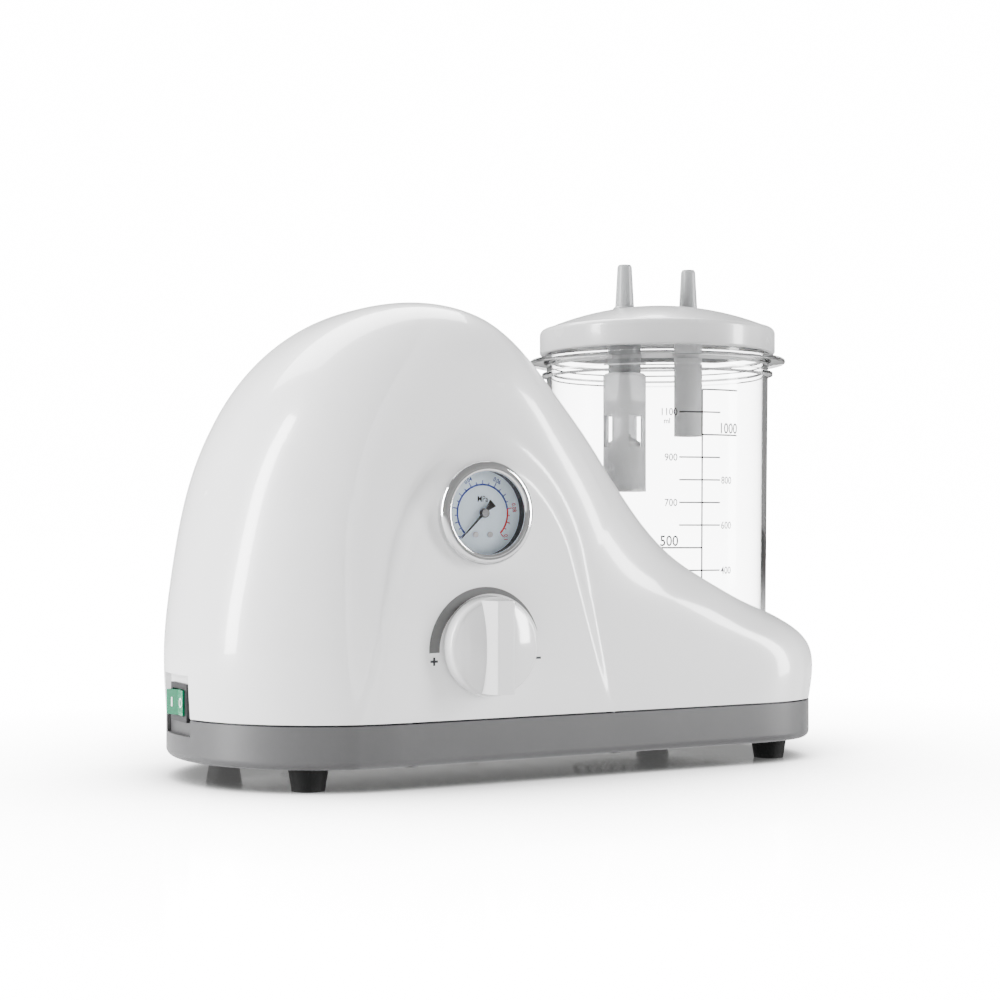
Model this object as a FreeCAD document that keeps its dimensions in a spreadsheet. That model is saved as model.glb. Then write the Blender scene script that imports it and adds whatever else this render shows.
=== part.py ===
import FreeCAD, Part
import math
import os

import Sketcher
from FreeCAD import Placement, Rotation, Vector

# A table-top suction pump: a domed two-part casing with a piston vacuum pump inside, a vacuum
# gauge and a regulator knob on its front, a mains rocker switch on its left end and a
# graduated collection jar with a float valve standing in a well on its right.
# Frame: +X to the jar, +Y to the back, +Z up; the origin is on the table, in the middle of
# the whole machine. Every part is drawn about the casing's mid-plane and then set back by MID.

DOC = FreeCAD.newDocument("suction_pump")
SHEET = DOC.addObject("Spreadsheet::Sheet", "dim")

SIZES = {
    # casing
    "body_length": 320, "body_width": 150, "parting_z": 29.5, "dome_rise": 189.5,
    "cover_wall": 2.5, "front_lean": 2.6, "parting_gap": 0.8,
    "tray_wall": 3, "tray_edge_round": 3.5, "lip_wall": 1.6, "lip_rise": 4, "ease": 0.3,
    "boss_half_width": 64, "boss_shoulder_z": 100, "boss_top_z": 160, "boss_x": -40,
    "boss_lean": 3.2,
    "column_radius": 5, "column_top": 62, "column_inset": 6.5, "column_from_end": 82,
    "column_from_port": 14,
    # feet
    "foot_height": 10, "foot_seat": 1.5, "foot_top_radius": 8.9, "foot_base_radius": 7.2,
    "foot_from_left": 42.2, "foot_from_right": 31.2, "foot_inset": 23,
    "screw_radius": 2, "screw_head_radius": 3.8, "screw_head_height": 2.6, "screw_play": 0.1,
    # jar and its well
    "jar_from_end": 63, "well_play": 3, "well_floor": 42, "well_wall": 2, "pad_height": 3,
    "jar_radius": 56.5, "jar_draft": 1.3, "jar_wall": 2.5, "jar_height": 163.5,
    "jar_flange_reach": 8.5, "jar_flange_drop": 10.5,
    # lid and what hangs under it
    "lid_overhang": 3.5, "lid_band": 12, "lid_rise": 12.5, "lid_wall": 3, "seal_height": 1.6,
    "nozzle_offset": 19.5, "nozzle_tip_radius": 3.5, "nozzle_root_radius": 4.8, "nozzle_bore": 2.2,
    "nozzle_rise": 20.4, "inlet_tube_radius": 7.25, "inlet_tube_reach": 47.5,
    "collar_radius": 10.8, "collar_height": 14.2, "collar_drop": 16.8, "cage_height": 45.5,
    "cage_wall": 1.3, "cage_window": 8, "float_radius": 8, "float_height": 17, "float_seat": 12,
    # gauge
    "gauge_x": -44.5, "gauge_z": 120, "gauge_case_radius": 19.7, "gauge_case_depth": 24,
    "bezel_overhang": 3.3, "bezel_depth": 5.2, "sight_margin": 1.5, "dial_sink": 1.5,
    "pointer_length": 15.6, "sector_radius": 9, "pinion_radius": 1.5,
    # regulator
    "knob_x": -42.5, "knob_z": 61.5, "knob_radius": 22.3, "knob_rim": 8, "knob_reach": 17.5,
    "knob_gap": 1.2, "grip_width": 11, "stem_radius": 3, "valve_radius": 8, "valve_depth": 24,
    # switch
    "switch_z": 35.8, "switch_width": 21, "switch_height": 17, "switch_depth": 15,
    "switch_recess": 3.5, "seat_half_width": 15.5, "seat_low_z": 21.5, "seat_high_z": 48.5,
    "rocker_tilt": 10, "rocker_pin": 1.2, "rocker_gap": 0.4,
    # connections on the back
    "back_recess": 4.5, "back_left_x": -92, "back_right_x": 28, "back_low_z": 36, "back_high_z": 68,
    "inlet_x": -62, "port_x": 12, "fuse_x": -20, "back_mid_z": 52, "port_radius": 4, "port_reach": 11,
    "inlet_long": 28, "inlet_high": 20, "inlet_rim": 2, "inlet_wall": 1.8, "inlet_depth": 22,
    "fuse_radius": 5.8, "port_barrel_radius": 4.4, "port_flange_radius": 8, "port_bore": 1.8,
    # pump and motor
    "shaft_z": 82, "stator_radius": 29, "stator_length": 36, "stator_from_end": 32, "bore_radius": 17.5,
    "air_gap": 0.4, "shaft_radius": 4, "cap_length": 9, "bearing_radius": 11, "bearing_width": 7,
    "fan_radius": 29, "fan_width": 6, "throw": 2, "crank_radius": 14, "rod_bearing_radius": 8,
    "cylinder_radius": 16.4, "cylinder_wall": 2.2, "piston_play": 2.5, "cylinder_stand": 33,
    "cylinder_height": 24, "plate_thick": 3, "head_height": 14, "head_half": 24, "case_half": 24,
    "case_wall": 3, "cradle_half": 22, "cradle_gap": 0.1, "mount_radius": 6, "mount_y": 26,
    "bracket_z": 25, "bracket_thick": 3, "hose_radius": 3.5, "hose_bore": 2, "wire_radius": 1.8,
    "capacitor_radius": 12, "capacitor_length": 38, "muffler_radius": 14, "muffler_height": 30,
    # vent in the tray under the jar
    "vent_radius": 46, "vent_pitch": 6, "vent_slot": 2.6, "spoke_width": 3,
}
# Sizes and places that follow from others.
FOLLOWS = {
    "column_y": "body_width / 2 - column_inset", "column_left_x": "column_from_end - body_length / 2",
    "column_right_x": "port_x + column_from_port",
    "foot_left_x": "foot_from_left - body_length / 2", "foot_right_x": "body_length / 2 - foot_from_right",
    "foot_y": "body_width / 2 - foot_inset",
    "switch_seat_x": "body_length / 2 - switch_recess", "back_seat_y": "body_width / 2 - back_recess",
    "well_radius": "jar_radius + well_play", "jar_foot_radius": "jar_radius - jar_draft",
    "jar_flange_radius": "jar_radius + jar_flange_reach", "lid_radius": "jar_radius + lid_overhang",
    "jar_top": "well_floor + pad_height + jar_height",
    "nozzle_top_z": "jar_top + seal_height + 4 + lid_rise + nozzle_rise",
    "inlet_tube_bottom": "jar_top - inlet_tube_reach", "collar_top": "jar_top - collar_drop",
    "cage_bottom": "collar_top - collar_height - cage_height",
    "bezel_radius": "gauge_case_radius + bezel_overhang",
    "gauge_sight_radius": "gauge_case_radius - sight_margin",
    "stator_x": "stator_from_end - body_length / 2", "rotor_radius": "bore_radius - air_gap",
    "piston_radius": "cylinder_radius - piston_play", "cylinder_base": "shaft_z + cylinder_stand",
}
for row, (alias, size) in enumerate(SIZES.items(), start=1):
    SHEET.set(f"A{row}", alias.replace("_", " "))
    SHEET.set(f"B{row}", str(size))
    SHEET.setAlias(f"B{row}", alias)
DOC.recompute()


def named(text):
    """An expression in which each word that is a size points at its cell, or at the cells of
    the sizes that it follows from."""
    out, word = "", ""
    for letter in text + " ":
        if letter.isalnum() or letter in "_.":
            word += letter
            continue
        if word in FOLLOWS:
            word = "(" + named(FOLLOWS[word]) + ")"
        out += ("dim." + word if word in SIZES else word) + letter
        word = ""
    return out.strip()


def val(text):
    return float(SHEET.evalExpression(named(str(text))))


# The knob stands in front of the casing and the hose port behind it: the frame's origin is
# midway between them, so everything is set back by half the difference.
MID = "(knob_reach - (back_seat_y + port_reach - body_width / 2)) / 2"
UNDER = "foot_height"
FRONT = "(-body_width / 2)"
JAR_X = "(body_length / 2 - jar_from_end)"
JAR_Z = "(well_floor + pad_height)"
JAR_TOP = "jar_top"
LID_LOW = "(jar_top - lid_band + seal_height + 4)"
LID_TOP = "(jar_top + seal_height + 4 + lid_rise)"
PARTS = {}


# ---------------------------------------------------------------- helpers

def bind(obj, **texts):
    for prop, text in texts.items():
        obj.setExpression(prop.replace("__", "."), named(str(text)))


def place(obj, x="0", y="0", z="0", turn=None):
    """Sets obj at x, y, z, where y counts from the casing's mid-plane; turn is a Rotation."""
    obj.Placement = Placement(Vector(), turn or Rotation())
    bind(obj, Placement__Base__x=x, Placement__Base__y=f"{MID} + ({y})", Placement__Base__z=z)
    return obj


def keep(obj, label):
    obj.Label = label
    PARTS[label] = obj
    return obj


def body(label):
    return keep(DOC.addObject("PartDesign::Body", "Body_" + label), label)


def sketch(owner, role, loops):
    """A sketch of closed loops. A loop is ("circle", x, y, radius) or a list of corners
    (x, y), with a radius as third value where an arc runs to the next corner: it swells to the
    right of the way there, or to the left when the radius is negative."""
    plane = next(f for f in owner.Origin.OriginFeatures if f.Role == role)
    made = owner.newObject("Sketcher::SketchObject", "Sketch")
    made.AttachmentSupport = [(plane, "")]
    made.MapMode = "FlatFace"

    def pin_down(kind, index, end, text):
        where = made.addConstraint(Sketcher.Constraint(kind, -1, 1, index, end, val(text)))
        made.setExpression(f"Constraints[{where}]", named(str(text)))

    for loop in loops:
        first = made.GeometryCount
        if loop[0] == "circle":
            centre = Vector(val(loop[1]), val(loop[2]), 0)
            made.addGeometry(Part.Circle(centre, Vector(0, 0, 1), val(loop[3])), False)
            pin_down("DistanceX", first, 3, loop[1])
            pin_down("DistanceY", first, 3, loop[2])
            where = made.addConstraint(Sketcher.Constraint("Radius", first, val(loop[3])))
            made.setExpression(f"Constraints[{where}]", named(str(loop[3])))
            continue
        corners = [Vector(val(c[0]), val(c[1]), 0) for c in loop]
        ends = []
        for i, corner in enumerate(loop):
            here, there = corners[i], corners[(i + 1) % len(loop)]
            if len(corner) == 2:
                made.addGeometry(Part.LineSegment(here, there), False)
                ends.append((1, 2))
                continue
            radius = val(corner[2])
            way = there - here
            right = Vector(way.y, -way.x, 0).normalize()
            swell = abs(radius) - math.sqrt(max(radius ** 2 - (way.Length / 2) ** 2, 0))
            middle = (here + there) * 0.5 + right * math.copysign(swell, radius)
            if radius > 0:
                made.addGeometry(Part.Arc(here, middle, there), False)
                ends.append((1, 2))
            else:
                made.addGeometry(Part.Arc(there, middle, here), False)
                ends.append((2, 1))
            where = made.addConstraint(Sketcher.Constraint("Radius", first + i, abs(radius)))
            made.setExpression(f"Constraints[{where}]", named(f"abs({corner[2]})"))
        for i, corner in enumerate(loop):
            after = (i + 1) % len(loop)
            made.addConstraint(Sketcher.Constraint(
                "Coincident", first + i, ends[i][1], first + after, ends[after][0]))
            pin_down("DistanceX", first + i, ends[i][0], corner[0])
            pin_down("DistanceY", first + i, ends[i][0], corner[1])
    return made


def turned(label, profile, **spot):
    """A turned part: profile holds (radius, height) corners, about the part's own Z. With no
    label it is only a piece of a part."""
    made = body(label) if label else DOC.addObject("PartDesign::Body", "Turned")
    profile_sketch = sketch(made, "XZ_Plane", [profile])
    turn = made.newObject("PartDesign::Revolution", "Revolution")
    turn.Profile = profile_sketch
    turn.ReferenceAxis = (profile_sketch, ["V_Axis"])
    turn.Angle = 360
    place(made, **spot)
    return made


def padded(owner, loops, length, role="XY_Plane", back=False):
    pad = owner.newObject("PartDesign::Pad", "Pad")
    pad.Profile = sketch(owner, role, loops)
    bind(pad, Length=length)
    pad.Reversed = back
    return pad


def pocketed(owner, loops, length, role="XY_Plane", back=False):
    pocket = owner.newObject("PartDesign::Pocket", "Pocket")
    pocket.Profile = sketch(owner, role, loops)
    bind(pocket, Length=length)
    pocket.Reversed = back
    return pocket


def oblong(x, y, wide, high):
    """A rectangle's corners about x, y."""
    left, right = f"{x} - ({wide}) / 2", f"{x} + ({wide}) / 2"
    low, high = f"{y} - ({high}) / 2", f"{y} + ({high}) / 2"
    return [(left, low), (right, low), (right, high), (left, high)]


def cylinder(radius, height, x="0", y="0", z="0", turn=None):
    made = DOC.addObject("Part::Cylinder", "Cylinder")
    bind(made, Radius=radius, Height=height)
    return place(made, x, y, z, turn)


def box(long, wide, high, x="0", y="0", z="0", turn=None):
    """A block with its lowest corner at x, y, z."""
    made = DOC.addObject("Part::Box", "Box")
    bind(made, Length=long, Width=wide, Height=high)
    return place(made, x, y, z, turn)


def tube(radius, bore, height, **spot):
    return cut(cylinder(radius, height, **spot), [cylinder(bore, height, **spot)])


def fuse(shapes):
    made = DOC.addObject("Part::MultiFuse", "Fusion")
    made.Shapes = shapes
    return made


def cut(base, tools):
    made = DOC.addObject("Part::Cut", "Cut")
    made.Base = base
    made.Tool = tools[0] if len(tools) == 1 else fuse(tools)
    return made


def feature(label, shape):
    """A sub-part whose shape is worked out below, set back from the mid-plane like the rest."""
    made = keep(DOC.addObject("Part::Feature", "Shape_" + label), label)
    made.Shape = shape
    made.Placement = Placement(Vector(0, val(MID), 0), Rotation())
    return made


TO_FRONT = Rotation(Vector(1, 0, 0), 90)    # a part's own +Z then points out of the front
TO_BACK = Rotation(Vector(1, 0, 0), -90)
TO_RIGHT = Rotation(Vector(0, 1, 0), 90)
TO_LEFT = Rotation(Vector(0, 1, 0), -90)


# ---------------------------------------------------------------- casing surface

# The ridge is the casing's outline seen from the front, from the foot of its right end over
# the dome to the foot of its left end: shares of half the length and of the dome's rise.
RIDGE = [(1.0, 0.0), (1.006, 0.14), (0.835, 0.24), (0.644, 0.33), (0.469, 0.414), (0.337, 0.535),
         (0.204, 0.682), (0.05, 0.826), (-0.156, 0.972), (-0.403, 0.992), (-0.7, 0.863),
         (-0.9, 0.605), (-0.977, 0.34), (-1.004, 0.153), (-1.0, 0.0)]
# The face meets the ridge over a rounded band: its depth as a share of half the width, and how
# square its section is (2 is an ellipse), by the angle round the dome in degrees.
BAND_ANGLES = [0, 30, 60, 90, 130, 180]
BAND_DEPTH = [0.773, 0.8, 0.88, 0.827, 0.907, 1.0]
BAND_SQUARE = [3.0, 3.0, 2.8, 3.2, 2.3, 2.0]
HUB_X = -25                 # the ridge is seen from this point of the parting plane
FACE_STEPS = 18
BAND_STEPS = 12
RIDGE_STEPS = 64


def between(at, places, values):
    for i in range(len(places) - 1):
        if at <= places[i + 1]:
            share = (at - places[i]) / (places[i + 1] - places[i])
            return values[i] + share * (values[i + 1] - values[i])
    return values[-1]


def soft_step(share):
    share = min(max(share, 0), 1)
    return share * share * (3 - 2 * share)


def boss_rise(x, z):
    """How far the arched boss that carries the gauge and the knob stands out at x, z."""
    up = z - val("parting_z")
    shoulder = val("boss_shoulder_z")
    wide = val("boss_half_width") - 0.19 * up
    past = max(z - shoulder, 0) / (val("boss_top_z") - shoulder)
    inside = (1 - math.hypot((x - val("boss_x")) / wide, past)) * wide
    flank = 3 + 0.12 * up
    return up * math.tan(math.radians(val("boss_lean"))) * soft_step(inside / flank)


def casing_grid(inset):
    """Points of the casing's skin, moved in by inset: a fan of half-planes about an axis
    parallel to Y, each from the foot of the front face over the ridge to the foot of the back."""
    half, low, rise = val("body_length / 2"), val("parting_z"), val("dome_rise")
    line = Part.BSplineCurve()
    line.interpolate([Vector(half * x, 0, low + rise * z) for x, z in RIDGE])
    lean = math.tan(math.radians(val("front_lean")))
    grid = []
    for i in range(RIDGE_STEPS + 1):
        tip = line.value(line.FirstParameter
                         + (line.LastParameter - line.FirstParameter) * i / RIDGE_STEPS)
        reach = math.hypot(tip.x - HUB_X, tip.z - low)
        along, up = (tip.x - HUB_X) / reach, max(tip.z - low, 0) / reach
        angle = math.degrees(math.atan2(up, along))
        depth = between(angle, BAND_ANGLES, BAND_DEPTH) * val("body_width / 2")
        square = between(angle, BAND_ANGLES, BAND_SQUARE)
        row = []
        for j in range(FACE_STEPS + BAND_STEPS + 1):
            if j <= FACE_STEPS:
                out, over = (reach - depth) * j / FACE_STEPS, 1.0
            else:
                turn = math.pi / 2 * (j - FACE_STEPS) / BAND_STEPS
                size = (math.sin(turn) ** square + abs(math.cos(turn)) ** square) ** (-1 / square)
                out = reach - depth + (depth - inset) * size * math.sin(turn)
                over = size * math.cos(turn) if j < FACE_STEPS + BAND_STEPS else 0.0
            x, z = HUB_X + out * along, low + out * up
            row.append((x, (val("body_width / 2") - inset - (z - low) * lean) * over, z))
        front = [Vector(x, -y - boss_rise(x, z), z) if y else Vector(x, 0, z) for x, y, z in row]
        back = [Vector(x, y, z) for x, y, z in reversed(row[:-1])]
        grid.append(front + back)
    return grid


def casing_skin(inset):
    """The domed skin moved in by inset, and its rim in the parting plane."""
    skin = Part.BSplineSurface()
    skin.interpolate(casing_grid(inset))
    for column, y in ((1, -1), (skin.NbVPoles, 1)):
        hub = Vector(HUB_X, y * (val("body_width / 2") - inset), val("parting_z"))
        for rank in range(1, skin.NbUPoles + 1):
            skin.setPole(rank, column, hub)
    for rank in (1, skin.NbUPoles):
        for column in range(1, skin.NbVPoles + 1):
            pole = skin.getPole(rank, column)
            skin.setPole(rank, column, Vector(pole.x, pole.y, val("parting_z")))
    dome = skin.toShape()
    rim = [edge for edge in dome.Edges if not edge.Degenerated]
    return dome, Part.Wire(Part.__sortEdges__(rim))


def sewn(faces):
    skins = Part.Compound(faces)
    skins.sewShape()
    solid = Part.Solid(skins.Shells[0])
    return solid if solid.Volume > 0 else solid.reversed()


def casing_solid(inset):
    dome, rim = casing_skin(inset)
    return sewn([dome, Part.Face(rim)])


def casing_shell(wall):
    outer, outer_rim = casing_skin(0)
    inner, inner_rim = casing_skin(wall)
    edge = Part.makeFace([outer_rim, inner_rim], "Part::FaceMakerBullseye")
    return sewn([outer, inner, edge])


def plan_face(inset, z):
    """The casing's outline at the parting plane: a half circle on the left, and a right end
    whose corners are squarer than an ellipse."""
    half, wide = val("body_length / 2"), val("body_width / 2") - inset
    depth, square = BAND_DEPTH[0] * val("body_width / 2"), BAND_SQUARE[0]
    turn_x = -half + val("body_width / 2")
    corner_x = half - depth
    right = []
    for k in range(-8, 9):
        turn = math.pi / 2 * k / 8
        size = (abs(math.sin(turn)) ** square + abs(math.cos(turn)) ** square) ** (-1 / square)
        right.append(Vector(corner_x + (depth - inset) * size * math.cos(turn),
                            wide * size * math.sin(turn), z))
    curve = Part.BSplineCurve()
    curve.interpolate(right)
    left = Part.Arc(Vector(turn_x, wide, z), Vector(turn_x - wide, 0, z), Vector(turn_x, -wide, z))
    edges = [curve.toShape(), Part.makeLine(right[-1], Vector(turn_x, wide, z)), left.toShape(),
             Part.makeLine(Vector(turn_x, -wide, z), right[0])]
    return Part.Face(Part.Wire(edges))


def plan_slab(inset, low, high):
    return plan_face(inset, low).extrude(Vector(0, 0, high - low))


def block(x0, x1, y0, y1, z0, z1):
    low = Vector(min(x0, x1), min(y0, y1), min(z0, z1))
    return Part.makeBox(abs(x1 - x0), abs(y1 - y0), abs(z1 - z0), low)


def post(radius, x, y, z0, z1):
    return Part.makeCylinder(radius, z1 - z0, Vector(x, y, z0))


def column_spots():
    for x in ("column_left_x", "column_right_x"):
        for side in (-1, 1):
            yield val(x), side * val("column_y")


def foot_spots():
    for x in ("foot_left_x", "foot_right_x"):
        for side in (-1, 1):
            yield val(x), side * val("foot_y")


# ---------------------------------------------------------------- casing

def switch_cuts():
    """The flat pocket in the left end, and the opening in its floor for the switch's body."""
    seat_x = -val("switch_seat_x")
    wide, high = val("switch_width / 2 - 1.5"), val("switch_height / 2 - 1.5")
    mid = val("switch_z")
    pocket = block(seat_x, seat_x - 20, -val("seat_half_width"), val("seat_half_width"),
                   val("seat_low_z"), val("seat_high_z"))
    return [pocket, block(seat_x - 1, seat_x + 12, -wide, wide, mid - high, mid + high)]


def switch_backing(low, high):
    seat_x, side = -val("switch_seat_x"), val("seat_half_width") + 2.5
    return block(seat_x, seat_x + 2.5, -side, side, low, high)


def make_cover():
    shell, within = casing_shell(val("cover_wall")), casing_solid(val("cover_wall / 2"))
    low, top = val("parting_z"), val("parting_z + dome_rise")
    jar_x, well = val(JAR_X), val("well_radius")
    floor = val("well_floor - well_wall")
    added = [post(well + val("well_wall"), jar_x, 0, floor, top)]
    for x, y in column_spots():
        added.append(post(val("column_radius"), x, y, low, val("column_top")))
    seat_y, wall = val("back_seat_y"), val("cover_wall")
    added.append(block(val("back_left_x") - wall, val("back_right_x") + wall, seat_y - wall,
                       val("body_width / 2"), val("back_low_z") - wall, val("back_high_z") + wall))
    added.append(block(-val("switch_seat_x"), -val("body_length / 2"), -val("seat_half_width") - wall,
                       val("seat_half_width") + wall, low, val("seat_high_z") + wall))
    added.append(switch_backing(low, val("seat_high_z") + wall))
    shell = shell.fuse([piece.common(within) for piece in added])
    holes = [post(well, jar_x, 0, val("well_floor"), top + 20)]
    for x, y in column_spots():
        holes.append(post(val("screw_radius + screw_play / 2"), x, y, low - 1, val("column_top - 15")))
    holes += switch_cuts()
    holes.append(block(val("back_left_x"), val("back_right_x"), seat_y, seat_y + 30,
                       val("back_low_z"), val("back_high_z")))
    mid_z, ease = val("back_mid_z"), val("ease")
    inlet_x, half_long, half_high = val("inlet_x"), val("inlet_long / 2") + ease, val("inlet_high / 2") + ease
    holes.append(block(inlet_x - half_long, inlet_x + half_long, seat_y - 9, seat_y + 1,
                       mid_z - half_high, mid_z + half_high))
    for x, radius in (("fuse_x", "fuse_radius"), ("port_x", "port_barrel_radius")):
        holes.append(Part.makeCylinder(val(radius) + ease, 14, Vector(val(x), seat_y - 10, mid_z),
                                       Vector(0, 1, 0)))
    for x, z, radius in (("gauge_x", "gauge_z", "gauge_case_radius + ease"),
                         ("knob_x", "knob_z", "stem_radius + 2 + ease")):
        holes.append(Part.makeCylinder(val(radius), 40, Vector(val(x), -val("body_width / 2") - 20, val(z)),
                                       Vector(0, 1, 0)))
    return shell.cut(holes)


def make_tray():
    under, wall = val(UNDER), val("tray_wall")
    top = val("parting_z - parting_gap")
    outer = plan_slab(0, under, top)
    sole = [e for e in outer.Edges if e.BoundBox.ZMax < under + 0.01]
    outer = outer.makeFillet(val("tray_edge_round"), sole)
    tray = outer.cut(plan_slab(wall, under + wall, top + 1))
    lip_out = val("cover_wall + ease")
    lip_in = lip_out + val("lip_wall")
    lip = plan_slab(lip_out, under + wall, top + val("lip_rise")).cut(
        plan_slab(lip_in, under, top + val("lip_rise") + 1))
    added = [lip, switch_backing(under + wall, val("parting_z - parting_gap"))]
    for x, y in column_spots():
        added.append(post(val("column_radius"), x, y, under, top))
    for x, y in foot_spots():
        added.append(post(val("column_radius"), x, y, under, under + 14))
    tray = tray.fuse(added)
    holes = switch_cuts()
    side = val("seat_half_width + cover_wall + ease")
    holes.append(block(-val("body_length / 2"), -val("switch_seat_x - 4"), -side, side, top, top + 9))
    for x, y in column_spots():
        holes.append(post(val("screw_radius + screw_play"), x, y, under - 1, top + 9))
        holes.append(post(val("screw_head_radius + ease"), x, y, under - 1, under + 4))
        holes.append(post(val("column_radius + ease"), x, y, top, top + 9))
    for x, y in foot_spots():
        holes.append(post(val("screw_radius + screw_play"), x, y, under - 1, under + 12))
        holes.append(post(val("foot_top_radius + ease"), x, y, under - 1, under + val("foot_seat")))
    lip_y = val("back_seat_y - 12")
    holes.append(block(val("back_left_x") - 4, val("back_right_x") + 4, lip_y, val("body_width / 2"),
                       val("back_low_z") - 5, top + 20))
    return tray.cut(holes).cut(vent_slots())


def vent_slots():
    """Rings of slots under the jar well, held by spokes."""
    x, under = val(JAR_X), val(UNDER) - 1
    tall, slot = val("tray_wall") + 2, val("vent_slot")
    rings, radius = [], val("vent_pitch")
    while radius < val("vent_radius"):
        rings.append(post(radius + slot / 2, x, 0, under, under + tall).cut(
            post(radius - slot / 2, x, 0, under - 1, under + tall + 1)))
        radius += val("vent_pitch")
    reach, half = val("vent_radius") + 5, val("spoke_width / 2")
    spoke = block(x - reach, x + reach, -half, half, under - 1, under + tall + 1)
    spokes = []
    for turn in (22.5, 67.5, 112.5, 157.5):
        arm = spoke.copy()
        arm.rotate(Vector(x, 0, 0), Vector(0, 0, 1), turn)
        spokes.append(arm)
    return Part.makeCompound(rings).cut(spokes)


def make_screws(label, spots, low, length):
    """Round-headed screws in one node, each standing on its head."""
    pins = []
    for x, y in spots:
        pins.append(cylinder("screw_head_radius", "screw_head_height", x, y, low))
        pins.append(cylinder("screw_radius", length, x, y, low))
    keep(fuse(pins), label)


feature("cover_shell", make_cover())
feature("base_tray", make_tray())
COLUMNS = [(x, f"{side} * column_y") for x in ("column_left_x", "column_right_x") for side in (-1, 1)]
FEET = [(x, f"{side} * foot_y") for x in ("foot_left_x", "foot_right_x") for side in (-1, 1)]
make_screws("cover_screws", COLUMNS, f"{UNDER} + 4 - screw_head_height", "30")
make_screws("foot_screws", FEET, "3", f"{UNDER} + 8")


def foot(x, y):
    """A rubber foot: a tapered plug with a sunk hole for its screw."""
    plug = DOC.addObject("Part::Cone", "Cone")
    bind(plug, Radius1="foot_base_radius", Radius2="foot_top_radius", Height=UNDER)
    place(plug, x, y, "0")
    seated = cylinder("foot_top_radius", "foot_seat + 0.5", x, y, f"{UNDER} - 0.5")
    return cut(fuse([plug, seated]), [
        cylinder("screw_radius + screw_play", f"{UNDER} + 9", x, y, "-1"),
        cylinder("screw_head_radius + ease", "screw_head_height + 4.2", x, y, "-1")])


keep(fuse([foot(x, y) for x, y in FEET]), "rubber_feet")


# ---------------------------------------------------------------- jar, lid and float valve

turned("jar_pad", [
    ("well_radius - 16", "0"), ("well_radius - 1", "0"), ("well_radius - 1", "pad_height"),
    ("well_radius - 16", "pad_height")], x=JAR_X, z="well_floor")

FLANGE = "(jar_height - jar_flange_drop)"
turned("jar", [
    ("0", "1.2"), ("jar_foot_radius - 12", "1.2"), ("jar_foot_radius - 10", "0"),
    ("jar_foot_radius - 4", "0", "4"), ("jar_foot_radius", "4"),
    ("jar_radius", f"{FLANGE} - 8"), ("jar_radius + 2.4", f"{FLANGE} - 7"),
    ("jar_radius + 2.4", f"{FLANGE} - 5.6"), ("jar_radius", f"{FLANGE} - 4.6"),
    ("jar_radius", f"{FLANGE} - 2.4"), ("jar_flange_radius - 1", f"{FLANGE} - 1.2", "1.2"),
    ("jar_flange_radius - 1", f"{FLANGE} + 1.2"), ("jar_radius + 0.3", f"{FLANGE} + 1.6"),
    ("jar_radius + 0.3", "jar_height - 0.6"), ("jar_radius - 0.3", "jar_height"),
    ("jar_radius - jar_wall", "jar_height"),
    ("jar_foot_radius - jar_wall", "7", "-4"), ("jar_foot_radius - jar_wall - 4", "3.4"), ("0", "3.8"),
], x=JAR_X, z=JAR_Z)

turned("lid_seal", [
    ("jar_radius - jar_wall - 0.6", "0"), ("jar_radius", "0"), ("jar_radius", "seal_height"),
    ("jar_radius - jar_wall - 0.6", "seal_height")], x=JAR_X, z=JAR_TOP)


def cap_radius(half, rise):
    """The radius of a spherical cap, from its half width and its rise."""
    return f"((({half})^2 + ({rise})^2) / 2 / ({rise}))"


LID_INSIDE = "(jar_radius - jar_wall - 2)"
LID_DOME = cap_radius("lid_radius - 3", "lid_rise - 0.9")
LID_VAULT = cap_radius(LID_INSIDE, "lid_rise - lid_wall + 3")
lid = turned("jar_lid", [
    ("jar_radius + 0.8", "0"), ("lid_radius - 1", "0", "1"), ("lid_radius", "1"),
    ("lid_radius", "lid_band - 2", "3"), ("lid_radius - 3", "lid_band + 0.9", LID_DOME),
    ("0", "lid_band + lid_rise"), ("0", "lid_band + lid_rise - lid_wall", "-" + LID_VAULT),
    (LID_INSIDE, "lid_band - 3"), (LID_INSIDE, "lid_band - 4"),
    ("jar_radius + 0.8", "lid_band - 4")], x=JAR_X, z=LID_LOW)
for side in (-1, 1):
    pocketed(lid, [("circle", f"{side} * nozzle_offset", "0", "nozzle_root_radius + 1.2")], "60", back=True)


def nozzle(label, side, skirt, foot_z):
    """A push-in nozzle: a tapered spout over the lid and a tube under it."""
    x = f"{JAR_X} + ({side} * nozzle_offset)"
    low = f"({foot_z})"
    seat = f"({LID_TOP} - lid_wall - 5 - {low})"
    turned(label, [
        ("nozzle_bore", "0"), (skirt, "0"), (skirt, seat), ("nozzle_root_radius + 1.1", seat),
        ("nozzle_root_radius + 1.1", f"{seat} + lid_wall + 3.4"),
        ("nozzle_root_radius", f"{seat} + lid_wall + 4.4"),
        ("nozzle_tip_radius + 0.2", f"nozzle_top_z - {low} - 1.2"),
        ("nozzle_tip_radius - 0.4", f"nozzle_top_z - {low}"), ("nozzle_bore", f"nozzle_top_z - {low}")],
        x=x, z=foot_z)


nozzle("suction_nozzle", 1, "inlet_tube_radius + 1.2", f"{LID_TOP} - lid_wall - 12")
nozzle("vacuum_nozzle", -1, "collar_radius - 2.6", "collar_top")
TUBE_TOP = f"{LID_TOP} - lid_wall - 12"
turned("inlet_tube", [
    ("inlet_tube_radius - 1.4", "0"), ("inlet_tube_radius", "0"),
    ("inlet_tube_radius", f"{TUBE_TOP} - inlet_tube_bottom"),
    ("inlet_tube_radius - 1.4", f"{TUBE_TOP} - inlet_tube_bottom")],
    x=f"{JAR_X} + nozzle_offset", z="inlet_tube_bottom")

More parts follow.
